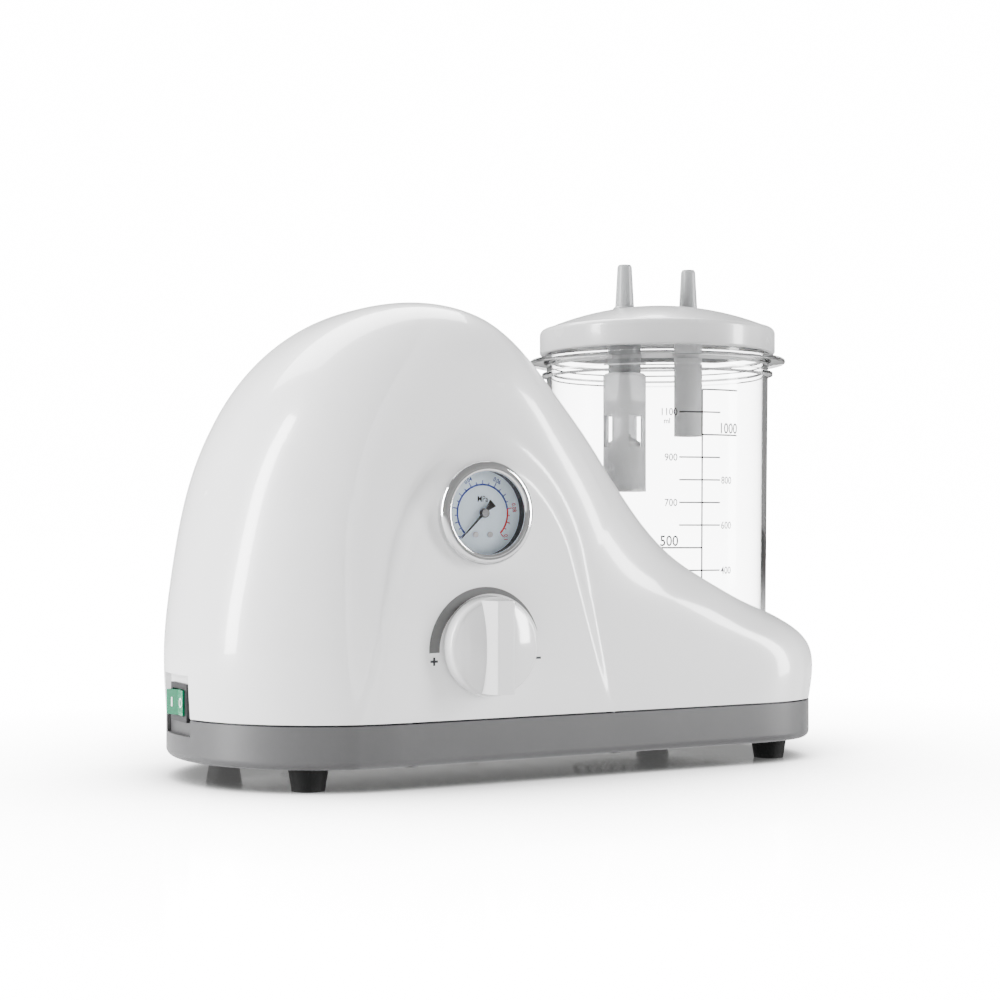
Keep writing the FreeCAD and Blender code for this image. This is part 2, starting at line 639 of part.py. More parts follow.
VALVE_X = f"{JAR_X} - nozzle_offset"
turned("float_valve_collar", [
    ("nozzle_bore", "collar_height - 3"), ("3.2", "0"), ("collar_radius", "0"),
    ("collar_radius", "collar_height - 1"),
    ("collar_radius - 1", "collar_height"), ("nozzle_bore", "collar_height")],
    x=VALVE_X, z="collar_top - collar_height")

cage = DOC.addObject("PartDesign::Body", "Cage")
CAGE_TALL = "(collar_top - collar_height - cage_bottom)"
profile = sketch(cage, "XZ_Plane", [[
    ("0", "0"), ("collar_radius", "0"), ("collar_radius", CAGE_TALL),
    ("collar_radius - cage_wall", CAGE_TALL),
    ("collar_radius - cage_wall", "1.5"), ("0", "1.5")]])
turn = cage.newObject("PartDesign::Revolution", "Revolution")
turn.Profile, turn.ReferenceAxis, turn.Angle = profile, (profile, ["V_Axis"]), 360
for role in ("XZ_Plane", "YZ_Plane"):
    window = pocketed(cage, [oblong("0", f"{CAGE_TALL} - 15", "cage_window", "2 * cage_window")], "40",
                      role=role)
    window.Midplane = True
pocketed(cage, [("circle", "0", "0", "3")], "10", back=True)
place(cage, x=VALVE_X, z="cage_bottom")

turned("float", [
    ("0", "0"), ("float_radius - 1", "0", "1"), ("float_radius", "1"), ("float_radius", "float_height - 4"),
    ("3", "float_height - 1"), ("3", "float_height"), ("0", "float_height")], x=VALVE_X,
    z="cage_bottom + float_seat")
keep(fuse([cage, tube("collar_radius - 0.5", "4", "1.2", x=VALVE_X, z="cage_bottom + float_seat - 1.7")]),
     "float_cage")


# ---------------------------------------------------------------- gauge


def on_boss(z_text):
    """How far the boss's face stands in front of the casing's half width, at a height."""
    return f"((({z_text}) - parting_z) * (tan(boss_lean) - tan(front_lean)))"


GAUGE_FACE = on_boss("gauge_z")
KNOB_FACE = on_boss("knob_z")
AT_GAUGE = dict(x="gauge_x", y=f"{FRONT} - {GAUGE_FACE}", z="gauge_z", turn=TO_FRONT)
AT_KNOB = dict(x="knob_x", y=f"{FRONT} - {KNOB_FACE}", z="knob_z", turn=TO_FRONT)

INSIDE = "gauge_case_radius - 1"
turned("gauge_case", [
    ("0", "-gauge_case_depth - 10"), ("5", "-gauge_case_depth - 10"), ("5", "-gauge_case_depth"),
    ("gauge_case_radius", "-gauge_case_depth"), ("gauge_case_radius", "2.4"), (INSIDE, "2.4"),
    (INSIDE, "1 - gauge_case_depth"), ("0", "1 - gauge_case_depth")], **AT_GAUGE)
turned("gauge_bezel", [
    ("gauge_case_radius + 0.2", "0.4"), ("bezel_radius - 0.6", "0.4", "0.6"), ("bezel_radius", "1"),
    ("bezel_radius", "bezel_depth - 2.4", "2.6"), ("bezel_radius - 2.4", "bezel_depth"),
    ("gauge_sight_radius + 1.4", "bezel_depth", "1.2"), ("gauge_sight_radius", "bezel_depth - 1.4"),
    ("gauge_sight_radius", "4"), ("gauge_case_radius + 0.2", "4")], **AT_GAUGE)
turned("gauge_lens", [
    ("0", "2.5"), ("gauge_case_radius", "2.5"), ("gauge_case_radius", "3.7"), ("0", "3.7")], **AT_GAUGE)
turned("gauge_dial", [
    ("1.5", "-dial_sink - 0.8"), (f"{INSIDE} - 0.1", "-dial_sink - 0.8"), (f"{INSIDE} - 0.1", "-dial_sink"),
    ("1.5", "-dial_sink")], **AT_GAUGE)
DIAL_SCREWS = []
for side in (-1, 1):
    DIAL_SCREWS.append(cylinder("1.3", "0.6", f"gauge_x + {side * 3.6}", AT_GAUGE["y"] + " + dial_sink",
                                "gauge_z - 9.5", TO_FRONT))
keep(fuse(DIAL_SCREWS), "gauge_dial_screws")

pointer = DOC.addObject("PartDesign::Body", "Pointer")
padded(pointer, [[
    ("-2", "-6.3"), ("2", "-6.3"), ("0.7", "-2"), ("0.55", "2"), ("0.15", "pointer_length"),
    ("-0.15", "pointer_length"), ("-0.55", "2"), ("-0.7", "-2")]], "0.5")
hub = padded(pointer, [("circle", "0", "0", "2.1")], "1.4")
pointer.Tip = hub
place(pointer, **{**AT_GAUGE, "turn": TO_FRONT.multiply(Rotation(Vector(0, 0, 1), 135))})
pointer.setExpression("Placement.Base.y", named(f"{MID} + ({AT_GAUGE['y']} + 0.3)"))

arbor = turned(None, [
    ("0", "-14"), ("0.8", "-14"), ("0.8", "-9.5"), ("pinion_radius", "-9.5"), ("pinion_radius", "-6.5"),
    ("0.8", "-6.5"), ("0.8", "0"), ("0", "0")], **AT_GAUGE)
keep(fuse([pointer, arbor]), "gauge_pointer")
turned("gauge_movement_plate", [
    ("0.9", "-12"), ("14", "-12"), ("14", "-10.8"), ("0.9", "-10.8")], **AT_GAUGE)

SECTOR_X = "gauge_x - sector_radius - pinion_radius - 0.1"
sector = body("gauge_sector")
padded(sector, [[("0", "-1.8"), ("sector_radius * 0.8", "-sector_radius * 0.6", "sector_radius"),
                 ("sector_radius * 0.8", "sector_radius * 0.6"), ("0", "1.8")]], "1.6")
padded(sector, [("circle", "0", "0", "1")], "2", back=True)
place(sector, x=SECTOR_X, y=f"{AT_GAUGE['y']} + 8.6", z="gauge_z",
      turn=TO_FRONT.multiply(Rotation(Vector(0, 0, 1), -22.5)))


def arc_tube(radius, thick, start, end, centre, axis):
    """A round tube along an arc, as a solid."""
    ring = Part.makeTorus(radius, thick, centre, axis, -180, 180, end - start)
    ring.rotate(centre, axis, start)
    return ring


CENTRE = Vector(val("gauge_x"), val(AT_GAUGE["y"]) + 17, val("gauge_z"))
feature("bourdon_tube", arc_tube(13, 2, -120, 120, CENTRE, Vector(0, 1, 0)))


# ---------------------------------------------------------------- regulator

knob = body("regulator_knob")
profile = sketch(knob, "XZ_Plane", [[
    ("stem_radius + 0.05", "knob_gap"), ("knob_radius - 0.8", "knob_gap", "0.8"),
    ("knob_radius", "knob_gap + 0.8"),
    ("knob_radius - 0.5", "knob_rim - 2", "2.2"), ("knob_radius - 2.6", "knob_rim", "60"),
    ("0", "knob_rim + 3"), ("0", "knob_rim - 1.5"), ("stem_radius + 0.05", "knob_rim - 1.5")]])
turn = knob.newObject("PartDesign::Revolution", "Revolution")
turn.Profile, turn.ReferenceAxis, turn.Angle = profile, (profile, ["V_Axis"]), 360
grip = padded(knob, [[
    ("-grip_width / 2 - 1.5", "knob_rim - 1"), ("grip_width / 2 + 1.5", "knob_rim - 1"),
    ("grip_width / 2 - 1", "knob_reach - 1", "1"), ("grip_width / 2 - 2", "knob_reach"),
    ("-grip_width / 2 + 2", "knob_reach", "1"), ("-grip_width / 2 + 1", "knob_reach - 1")]],
    "knob_radius * 1.82", role="XZ_Plane")
grip.Midplane = True
place(knob, **AT_KNOB)

turned("valve_stem", [
    ("0", "-8"), ("stem_radius", "-8"), ("stem_radius", "knob_rim - 2"), ("0", "knob_rim - 2")], **AT_KNOB)
turned("valve_body", [
    ("stem_radius + 0.06", "-8.2"), ("stem_radius + 0.06", "-1.4"), ("stem_radius + 2", "-1.4"),
    ("stem_radius + 2", "-3.6"),
    ("valve_radius", "-3.6"), ("valve_radius", "-valve_depth"), ("3.2", "-valve_depth"),
    ("3.2", "-valve_depth - 7"), ("1.4", "-valve_depth - 7"), ("1.4", "1 - valve_depth"),
    ("2.6", "3 - valve_depth"), ("2.6", "-8.2")][::-1], **AT_KNOB)
turned("valve_needle", [
    ("0", "-valve_depth + 1.8"), ("1.6", "-valve_depth + 5"), ("2.2", "-valve_depth + 6"), ("2.2", "-10"),
    ("0", "-10")], **AT_KNOB)


# ---------------------------------------------------------------- mains switch

SEAT_X = "(-switch_seat_x)"
FRAME_WIDE, FRAME_HIGH = "(switch_width - 3.4)", "(switch_height - 3.4)"
frame_body = DOC.addObject("PartDesign::Body", "SwitchFrame")
padded(frame_body, [oblong("0", "0", "switch_width", "switch_height")], "1.8")
padded(frame_body, [oblong("0", "0", f"{FRAME_WIDE}", f"{FRAME_HIGH}")], "switch_depth", back=True)
pocketed(frame_body, [oblong("0", "0", f"{FRAME_WIDE} - 1.6", f"{FRAME_HIGH} - 1.6")], "14").Midplane = True
TO_LEFT_END = Rotation(Vector(0, 0, 1), -90).multiply(Rotation(Vector(1, 0, 0), 90))
place(frame_body, x=SEAT_X, z="switch_z", turn=TO_LEFT_END)

ROCKER_HALF = f"({FRAME_WIDE} / 2 - 1.6)"
rocker = body("rocker")
padded(rocker, [[
    ("-3.5", "-5.6"), ("3.5", "-5.6"), (ROCKER_HALF, "-1"), (ROCKER_HALF, "3.4"), ("0", "1.6"),
    ("-" + ROCKER_HALF, "3.4"), ("-" + ROCKER_HALF, "-1")]],
    f"{FRAME_HIGH} - 1.6 - 2 * rocker_gap").Midplane = True
padded(rocker, [("circle", "0", "0", "rocker_pin")], f"{FRAME_HIGH} - 1.7").Midplane = True
place(rocker, x=f"{SEAT_X} - 0.6", z="switch_z", turn=Rotation(Vector(0, 0, 1), 90 + val("rocker_tilt")))
BLADES = []
for across in (-5, 0, 5):
    BLADES.append(box("8", "0.8", "6", f"{SEAT_X} + switch_depth - 0.6", f"{across} - 0.4", "switch_z - 3"))
keep(fuse([frame_body, *BLADES]), "switch_frame")


# ---------------------------------------------------------------- connections on the back

SEAT_Y = "back_seat_y"
MID_Z = "back_mid_z"
inlet = DOC.addObject("PartDesign::Body", "Inlet")
padded(inlet, [oblong("0", "0", "inlet_long + 2 * inlet_rim", "inlet_high + 3 * inlet_rim")], "2.2")
padded(inlet, [oblong("0", "0", "inlet_long", "inlet_high")], "inlet_depth", back=True)
pocketed(inlet, [oblong("0", "0", "inlet_long - 2 * inlet_wall", "inlet_high - 2 * inlet_wall")],
         "2 * (inlet_depth - 5)").Midplane = True
place(inlet, x="inlet_x", y=SEAT_Y, z=MID_Z, turn=TO_BACK)
PINS = []
for across, up in ((-7, -2), (0, 2), (7, -2)):
    PINS.append(box("2", "14", "4", f"inlet_x + {across} - 1", f"{SEAT_Y} - 19.5", f"{MID_Z} + {up} - 2"))
keep(fuse([inlet, *PINS]), "mains_inlet")
turned("fuse_holder", [
    ("0", "-22"), ("fuse_radius", "-22"), ("fuse_radius", "0"), ("fuse_radius + 2.2", "0"),
    ("fuse_radius + 2.2", "1.6"), ("fuse_radius + 0.8", "2"), ("fuse_radius + 0.8", "4.6"),
    ("fuse_radius + 0.2", "5.2"), ("0", "5.2")], x="fuse_x", y=SEAT_Y, z=MID_Z, turn=TO_BACK)
turned("vacuum_port", [
    ("port_bore", "-16"), ("port_bore + 1.4", "-16"), ("port_bore + 1.4", "-6"), ("port_barrel_radius", "-6"),
    ("port_barrel_radius", "0"), ("port_flange_radius", "0"), ("port_flange_radius", "2"),
    ("port_radius", "2"), ("port_radius", "port_reach - 0.6"), ("port_radius - 0.6", "port_reach"),
    ("port_bore", "port_reach")], x="port_x", y=SEAT_Y, z=MID_Z, turn=TO_BACK)
turned("port_nut", [
    ("port_barrel_radius + 0.1", "-5.6"), ("port_flange_radius - 0.5", "-5.6"),
    ("port_flange_radius - 0.5", "-cover_wall - 0.1"), ("port_barrel_radius + 0.1", "-cover_wall - 0.1")],
    x="port_x", y=SEAT_Y, z=MID_Z, turn=TO_BACK)


# ---------------------------------------------------------------- motor

AXIS = dict(z="shaft_z", turn=TO_RIGHT)
STATOR_END = "(stator_x + stator_length)"


def on_shaft(label, profile, x):
    return turned(label, profile, x=x, **AXIS)


on_shaft("motor_stator", [
    ("bore_radius", "0"), ("stator_radius", "0"), ("stator_radius", "stator_length"),
    ("bore_radius", "stator_length")], "stator_x")
keep(fuse([tube("stator_radius - 5", "bore_radius + 1", "6", x=x, **AXIS)
           for x in ("stator_x - 6", STATOR_END)]), "stator_windings")
on_shaft("motor_rotor", [
    ("shaft_radius", "0"), ("rotor_radius", "0"), ("rotor_radius", "stator_length"),
    ("shaft_radius", "stator_length")], "stator_x")
for label, x, turn in (("rear_end_cap", "stator_x", TO_LEFT), ("front_end_cap", STATOR_END, TO_RIGHT)):
    turned(label, [
        ("stator_radius", "0"), ("stator_radius", "cap_length"), ("shaft_radius + 1", "cap_length"),
        ("shaft_radius + 1", "cap_length - 1"), ("bearing_radius + 0.02", "cap_length - 1"),
        ("bearing_radius + 0.02", "cap_length - 2.2"), ("stator_radius - 2", "cap_length - 2.2"),
        ("stator_radius - 2", "0")], x=x, z="shaft_z", turn=turn)
keep(fuse([tube("bearing_radius", "shaft_radius + 0.05", "bearing_width", x=x, **AXIS)
           for x in ("stator_x - cap_length + 1", f"{STATOR_END} + cap_length - 1 - bearing_width")]),
     "motor_bearings")
SHAFT_END = f"({STATOR_END} + cap_length + 9)"
FAN_X = "(stator_x - cap_length - fan_width - 1.5)"
on_shaft("motor_shaft", [
    ("0", "0"), ("shaft_radius - 0.02", "0"), ("shaft_radius - 0.02", f"{SHAFT_END} - {FAN_X}"),
    ("0", f"{SHAFT_END} - {FAN_X}")], FAN_X)

fan = body("cooling_fan")
padded(fan, [("circle", "0", "0", "shaft_radius + 4"), ("circle", "0", "0", "shaft_radius")], "fan_width")
blade = padded(fan, [oblong(
    "(shaft_radius + 3 + fan_radius) / 2", "0", "fan_radius - shaft_radius - 3", "1.4")], "fan_width")
fan_pattern = fan.newObject("PartDesign::PolarPattern", "PolarPattern")
fan_pattern.Originals = [blade]
fan_pattern.Axis = (fan.Origin.OriginFeatures[2], [""])
fan_pattern.Angle, fan_pattern.Occurrences = 360, 9
fan.Tip = fan_pattern
place(fan, x=FAN_X, **AXIS)

crank = body("crank")
padded(crank, [("circle", "0", "0", "crank_radius")], "9")
padded(crank, [("circle", "throw", "0", "shaft_radius")], "18.3")
pocketed(crank, [("circle", "0", "0", "shaft_radius")], "6.2", back=True)
place(crank, x=f"{SHAFT_END} - 6.2", z="shaft_z", turn=TO_RIGHT)


# ---------------------------------------------------------------- piston pump

PUMP_X = f"({SHAFT_END} + 7)"
PIN_Z = "(shaft_z - throw)"
CYLINDER_TOP = "(cylinder_base + cylinder_height)"
PLATE_TOP = "(cylinder_base + cylinder_height + plate_thick)"
HEAD_TOP = f"({PLATE_TOP} + head_height)"
PISTON_TOP = f"({CYLINDER_TOP} - 2 * throw - 1.4)"
CASE_LEFT = f"({STATOR_END} + cap_length)"
CASE_LONG = f"(({PUMP_X} - {CASE_LEFT}) * 2)"
CASE_LOW = "(shaft_z - crank_radius - 8)"


def around(x, wide, deep, low, high, y="0"):
    """A block centred on x and y, from low to high."""
    return box(wide, deep, f"({high}) - ({low})", f"{x} - ({wide}) / 2", f"{y} - ({deep}) / 2", low)


def head_corners():
    for side_x in (-1, 1):
        for side_y in (-1, 1):
            yield f"{PUMP_X} + ({side_x} * (head_half - 4))", f"{side_y} * (head_half - 4)"


def head_holes(low, tall):
    return [cylinder("screw_radius + screw_play", tall, x, y, low) for x, y in head_corners()]


rod = fuse([
    cylinder("rod_bearing_radius + 3.6", "6", f"{PUMP_X} - 3", "0", PIN_Z, TO_RIGHT),
    around(PUMP_X, "6", "9", f"{PIN_Z} + rod_bearing_radius + 1", f"{PISTON_TOP} - 3"),
    cylinder("piston_radius - 0.6", "4", PUMP_X, "0", f"{PISTON_TOP} - 4")])
keep(cut(rod, [cylinder("rod_bearing_radius", "8", f"{PUMP_X} - 4", "0", PIN_Z, TO_RIGHT)]), "piston_rod")
on_rod = dict(x=f"{PUMP_X} - 3.5", z=PIN_Z, turn=TO_RIGHT)
turned("rod_bearing", [
    ("shaft_radius + 0.05", "0"), ("rod_bearing_radius", "0"), ("rod_bearing_radius", "7"),
    ("shaft_radius + 0.05", "7")], **on_rod)
keep(cylinder("piston_radius", "0.8", PUMP_X, "0", PISTON_TOP), "piston_cup")
keep(tube("cylinder_radius + cylinder_wall", "cylinder_radius", "cylinder_height",
          x=PUMP_X, z="cylinder_base"), "pump_cylinder")
case_block = fuse([
    around(PUMP_X, CASE_LONG, "2 * case_half", CASE_LOW, "cylinder_base - 1"),
    around(PUMP_X, "2 * head_half", "2 * head_half", "cylinder_base - 3", "cylinder_base")])
keep(cut(case_block, [
    around(PUMP_X, f"{CASE_LONG} - 4", "2 * (case_half - case_wall)", f"{CASE_LOW} + case_wall",
           "cylinder_base - 3"),
    cylinder("cylinder_radius", "10", PUMP_X, "0", "cylinder_base - 6"),
    cylinder("shaft_radius + 2", "8", f"{CASE_LEFT} - 2", "0", "shaft_z", TO_RIGHT),
    *head_holes("cylinder_base - 5", "8")]), "crankcase")
VALVE_HOLES = [cylinder("1.8", "plate_thick + 2", f"{PUMP_X} + ({side} * 8)", "0", f"{CYLINDER_TOP} - 1")
               for side in (-1, 1)]
keep(cut(around(PUMP_X, "2 * head_half", "2 * head_half", CYLINDER_TOP, PLATE_TOP),
         VALVE_HOLES + head_holes(f"{CYLINDER_TOP} - 1", "plate_thick + 2")), "valve_plate")
keep(fuse([around(f"{PUMP_X} + ({side} * 8)", "5", "14", PLATE_TOP, f"{PLATE_TOP} + 0.3")
           for side in (-1, 1)]), "reed_valves")
CHAMBERS = [around(f"{PUMP_X} + ({side} * 9)", "13", "28", f"{PLATE_TOP} - 1", f"{HEAD_TOP} - 4")
            for side in (-1, 1)]
NIPPLES = [cylinder("3", "9", f"{PUMP_X} + ({side} * 9)", "0", f"{HEAD_TOP} - 1") for side in (-1, 1)]
NIPPLE_BORES = [cylinder("1.6", "16", f"{PUMP_X} + ({side} * 9)", "0", f"{HEAD_TOP} - 6") for side in (-1, 1)]
keep(cut(fuse([around(PUMP_X, "2 * head_half", "2 * head_half", PLATE_TOP, HEAD_TOP)] + NIPPLES),
         CHAMBERS + NIPPLE_BORES + head_holes(f"{PLATE_TOP} - 1", "head_height + 2")), "cylinder_head")
HEAD_SCREWS = []
for x, y in head_corners():
    HEAD_SCREWS.append(cylinder("screw_head_radius", "screw_head_height", x, y, HEAD_TOP))
    HEAD_SCREWS.append(cylinder("screw_radius", f"{HEAD_TOP} - cylinder_base + 4", x, y, "cylinder_base - 4"))
keep(fuse(HEAD_SCREWS), "head_screws")

PLATE_Z = "(bracket_z + bracket_thick)"
cradle = cut(around("stator_x + stator_length / 2", "stator_length - 6", "2 * cradle_half", "bracket_z",
                    "shaft_z - 14"),
             [cylinder("stator_radius + cradle_gap", "stator_length", "stator_x", "0", "shaft_z", TO_RIGHT),
              around("stator_x + stator_length / 2", "stator_length", "2 * cradle_half - 12", "bracket_z - 1",
                     "shaft_z - stator_radius - 5")])
legs = [around(PUMP_X, f"{CASE_LONG} - 6", "5", "bracket_z", CASE_LOW, f"{side} * (case_half - 4)")
        for side in (-1, 1)]
MOUNT_LEFT, MOUNT_RIGHT = "(stator_x + 4)", f"({PUMP_X} + 11)"
keep(fuse([cradle, *legs, box(
    f"{MOUNT_RIGHT} - {MOUNT_LEFT} + 2 * mount_radius + 4", "2 * (mount_y + mount_radius + 2)",
    "bracket_thick", f"{MOUNT_LEFT} - mount_radius - 2", "-(mount_y + mount_radius + 2)", "bracket_z")]),
    "pump_bracket")
FLOOR_Z = f"({UNDER} + tray_wall)"
keep(fuse([cylinder("mount_radius", f"bracket_z - {FLOOR_Z}", x, f"{side} * mount_y", FLOOR_Z)
           for x in (MOUNT_LEFT, MOUNT_RIGHT) for side in (-1, 1)]), "rubber_mounts")
turned("motor_capacitor", [
    ("0", "0"), ("capacitor_radius - 1", "0", "1"), ("capacitor_radius", "1"),
    ("capacitor_radius", "capacitor_length"), ("0", "capacitor_length")],
    x="-38", y="38", z=f"{FLOOR_Z} + capacitor_radius", turn=TO_RIGHT)
turned("exhaust_muffler", [
    ("0", "0"), ("muffler_radius", "0"), ("muffler_radius", "muffler_height - 2", "2"),
    ("muffler_radius - 2", "muffler_height"), ("3", "muffler_height"), ("3", "muffler_height + 8"),
    ("0", "muffler_height + 8")], x="12", y="-38", z=FLOOR_Z)


# ---------------------------------------------------------------- hoses and wires

def rounded_path(points):
    """Straight runs joined by arcs as large as the runs allow."""
    spots = [Vector(*point) for point in points]
    edges, start = [], spots[0]
    for before, corner, after in zip(spots, spots[1:], spots[2:]):
        into, away = (corner - before), (after - corner)
        reach = 0.45 * min(into.Length, away.Length)
        into.normalize()
        away.normalize()
        enter, leave = corner - into * reach, corner + away * reach
        half_turn = into.getAngle(away) / 2
        inward = (away - into).normalize()
        middle = corner + inward * (reach * (1 - math.cos(half_turn)) / math.sin(half_turn))
        edges.append(Part.makeLine(start, enter))
        edges.append(Part.Arc(enter, middle, leave).toShape())
        start = leave
    edges.append(Part.makeLine(start, spots[-1]))
    return Part.Wire(edges)


def swept(path, radius):
    way = path.Edges[0].tangentAt(path.Edges[0].FirstParameter)
    ring = Part.Wire(Part.makeCircle(radius, path.Edges[0].valueAt(path.Edges[0].FirstParameter), way))
    return path.makePipeShell([ring], True, False)


def hose(label, points, radius, bore=0):
    path = rounded_path(points)
    shape = swept(path, radius)
    if bore:
        shape = shape.cut(swept(path, bore))
    feature(label, shape)


PUMP, TOP = val(PUMP_X), val(f"{HEAD_TOP} + 8")
PORT_X, PORT_Y, PORT_Z = val("port_x"), val("back_seat_y - 16"), val("back_mid_z")
STEM_Y = val(f"{AT_GAUGE['y']} + gauge_case_depth + 10")
TAIL_Y = val(f"{AT_KNOB['y']} + valve_depth + 7")
MUFFLER_TOP = val(f"{FLOOR_Z} + muffler_height + 8")
TUBE = dict(radius=val("hose_radius"), bore=val("hose_bore"))
hose("vacuum_hose", [(PUMP + 9, 0, TOP), (PUMP + 9, 0, TOP + 15), (PUMP + 40, 14, TOP + 16), (-2, 28, 140),
                     (10, 34, 95), (PORT_X, 30, PORT_Z), (PORT_X, PORT_Y, PORT_Z)], **TUBE)
hose("exhaust_hose", [(PUMP - 9, 0, TOP), (PUMP - 9, 0, TOP + 13), (PUMP + 10, -16, TOP + 17),
                      (PUMP + 42, -28, 150), (8, -36, 105), (12, -38, 72), (12, -38, MUFFLER_TOP)], **TUBE)
hose("gauge_hose", [(val("gauge_x"), STEM_Y, val("gauge_z")), (val("gauge_x"), STEM_Y + 11, val("gauge_z")),
                    (-34, STEM_Y + 13, 92), (val("knob_x"), TAIL_Y + 13, val("knob_z")),
                    (val("knob_x"), TAIL_Y, val("knob_z"))], **TUBE)
SWITCH_END = -val("switch_seat_x") + val("switch_depth") + 7.4
hose("mains_wire", [(SWITCH_END, 5, val("switch_z")), (SWITCH_END + 8, 5, val("switch_z")),
                    (SWITCH_END + 6, 32, 34), (SWITCH_END + 30, val("mount_y + 16"), 33),
                    (val("inlet_x - 18"), val("mount_y + 15"), 40), (val("inlet_x"), 38, 52),
                    (val("inlet_x"), val("back_seat_y - inlet_depth") - 0.2, 52)], radius=val("wire_radius"))


# ---------------------------------------------------------------- check and write

DOC.recompute()
FAULTS = [f"{obj.Label}: {obj.State}" for obj in DOC.Objects if {"Invalid", "Error"} & set(obj.State)]
for label, obj in PARTS.items():
    if obj.Shape.isNull() or not obj.Shape.isValid() or obj.Shape.Volume <= 0:
        FAULTS.append(f"{label}: no valid shape")
if FAULTS:
    raise SystemExit("\n".join(FAULTS))
os.makedirs("parts", exist_ok=True)
for label, obj in PARTS.items():
    obj.Shape.exportStep(f"parts/{label}.step")
    print(f"{label}: {len(obj.Shape.Solids)} solids, {obj.Shape.Volume / 1000:.2f} cm3")
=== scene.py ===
import math

import bmesh
import bpy
import numpy as np
from mathutils import Matrix, Vector


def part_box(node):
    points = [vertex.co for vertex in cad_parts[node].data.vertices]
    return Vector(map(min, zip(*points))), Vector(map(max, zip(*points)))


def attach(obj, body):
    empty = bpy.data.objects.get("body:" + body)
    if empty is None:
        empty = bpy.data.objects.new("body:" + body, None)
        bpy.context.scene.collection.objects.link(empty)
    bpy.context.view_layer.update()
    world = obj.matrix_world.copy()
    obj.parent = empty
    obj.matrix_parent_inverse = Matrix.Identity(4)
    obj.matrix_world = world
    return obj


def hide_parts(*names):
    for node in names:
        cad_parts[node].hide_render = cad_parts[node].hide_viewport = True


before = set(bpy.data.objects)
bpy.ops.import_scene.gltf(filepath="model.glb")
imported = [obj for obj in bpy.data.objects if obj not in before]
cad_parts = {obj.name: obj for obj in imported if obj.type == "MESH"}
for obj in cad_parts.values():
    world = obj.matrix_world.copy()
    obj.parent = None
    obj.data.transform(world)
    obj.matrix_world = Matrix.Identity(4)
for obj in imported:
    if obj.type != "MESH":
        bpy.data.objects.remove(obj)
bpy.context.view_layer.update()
MM = 0.001
MID = 5.5              # the casing's mid-plane stands this far behind the frame's origin, in mm
SCENE = bpy.context.scene

LENS_MM, SENSOR_MM, SHIFT_UP = 66.16, 36, 0.0296
CAMERA_SPOT, CAMERA_TURN = (-0.4276, -0.7819, 0.1127), math.radians(-28.8)
FLOOR_SIDE, FLOOR_NEAR, FLOOR_FAR = 30.0, -8.0, 40.0

WHITE = 16             # brightness that the camera sees as pure white
AMBIENT = 0.16         # brightness of the studio all round
MIRRORED = 0.15        # how much brighter the studio is where it is mirrored in the object
FLOOR_LIGHT = 0.55     # how much light the floor throws back on the object
FLOOR_SHINE = 0.7      # how strongly the floor mirrors the object
FLOOR_GLOSS = 0.1      # roughness of that mirroring
PAINTED_SHADOW_REACH = 0.3      # how far from the object the painted shadow on the floor reaches, in metres
PAINTED_SHADOW_POWER = 3.4      # how quickly the painted shadow darkens
PAINTED_SHADOW_LEAST = 0.08     # what is left of the floor's glow where the painted shadow is darkest

# name, place, what it is turned to, width, height, power
LIGHTS = [
    ("left_box", (-1.6, 0.12, 0.6), (-0.1, 0, 0.12), 0.3, 1.5, 92),
    ("right_box", (1.6, -1.25, 0.45), (0.05, 0, 0.1), 0.4, 1.1, 62),
    ("top_box", (0.0, 0.8, 1.5), (0, 0, 0.1), 1.8, 0.9, 72),
]


# ---------------------------------------------------------------- camera, stage and light

def add_camera():
    lens = bpy.data.cameras.new("camera")
    lens.lens, lens.sensor_width, lens.shift_y = LENS_MM, SENSOR_MM, SHIFT_UP
    lens.clip_start, lens.clip_end = 0.05, 30
    camera = bpy.data.objects.new("camera", lens)
    camera.location = CAMERA_SPOT
    camera.rotation_euler = (math.pi / 2, 0, CAMERA_TURN)
    SCENE.collection.objects.link(camera)
    SCENE.camera = camera


def add_light(name, spot, target, wide, high, power):
    lamp = bpy.data.lights.new(name, "AREA")
    lamp.shape, lamp.size, lamp.size_y, lamp.energy = "RECTANGLE", wide, high, power
    made = bpy.data.objects.new(name, lamp)
    made.location = spot
    made.rotation_euler = (Vector(target) - Vector(spot)).to_track_quat("-Z", "Y").to_euler()
    SCENE.collection.objects.link(made)


def new_object(name, mesh):
    made = bpy.data.objects.new(name, mesh)
    SCENE.collection.objects.link(made)
    return made


def add_stage():
    """A wide pale floor; the white of the studio is behind it."""
    verts = [(x, y, 0.0) for y in (FLOOR_NEAR, FLOOR_FAR) for x in (-FLOOR_SIDE, FLOOR_SIDE)]
    mesh = bpy.data.meshes.new("floor")
    mesh.from_pydata(verts, [], [(0, 1, 3, 2)])
    floor = new_object("floor", mesh)
    floor.rotation_euler.z = CAMERA_TURN
    mesh.materials.append(floor_finish())


def seen_directly(tree):
    """1 for what is seen straight or through glass, 0 for what lights or is mirrored in the object."""
    path = tree.nodes.new("ShaderNodeLightPath")
    parts = []
    for kind in ("Diffuse Depth", "Glossy Depth"):
        test = tree.nodes.new("ShaderNodeMath")
        test.operation = "LESS_THAN"
        test.inputs[1].default_value = 0.5
        tree.links.new(path.outputs[kind], test.inputs[0])
        parts.append(test.outputs[0])
    both = tree.nodes.new("ShaderNodeMath")
    both.operation = "MULTIPLY"
    tree.links.new(parts[0], both.inputs[0])
    tree.links.new(parts[1], both.inputs[1])
    return both.outputs[0]


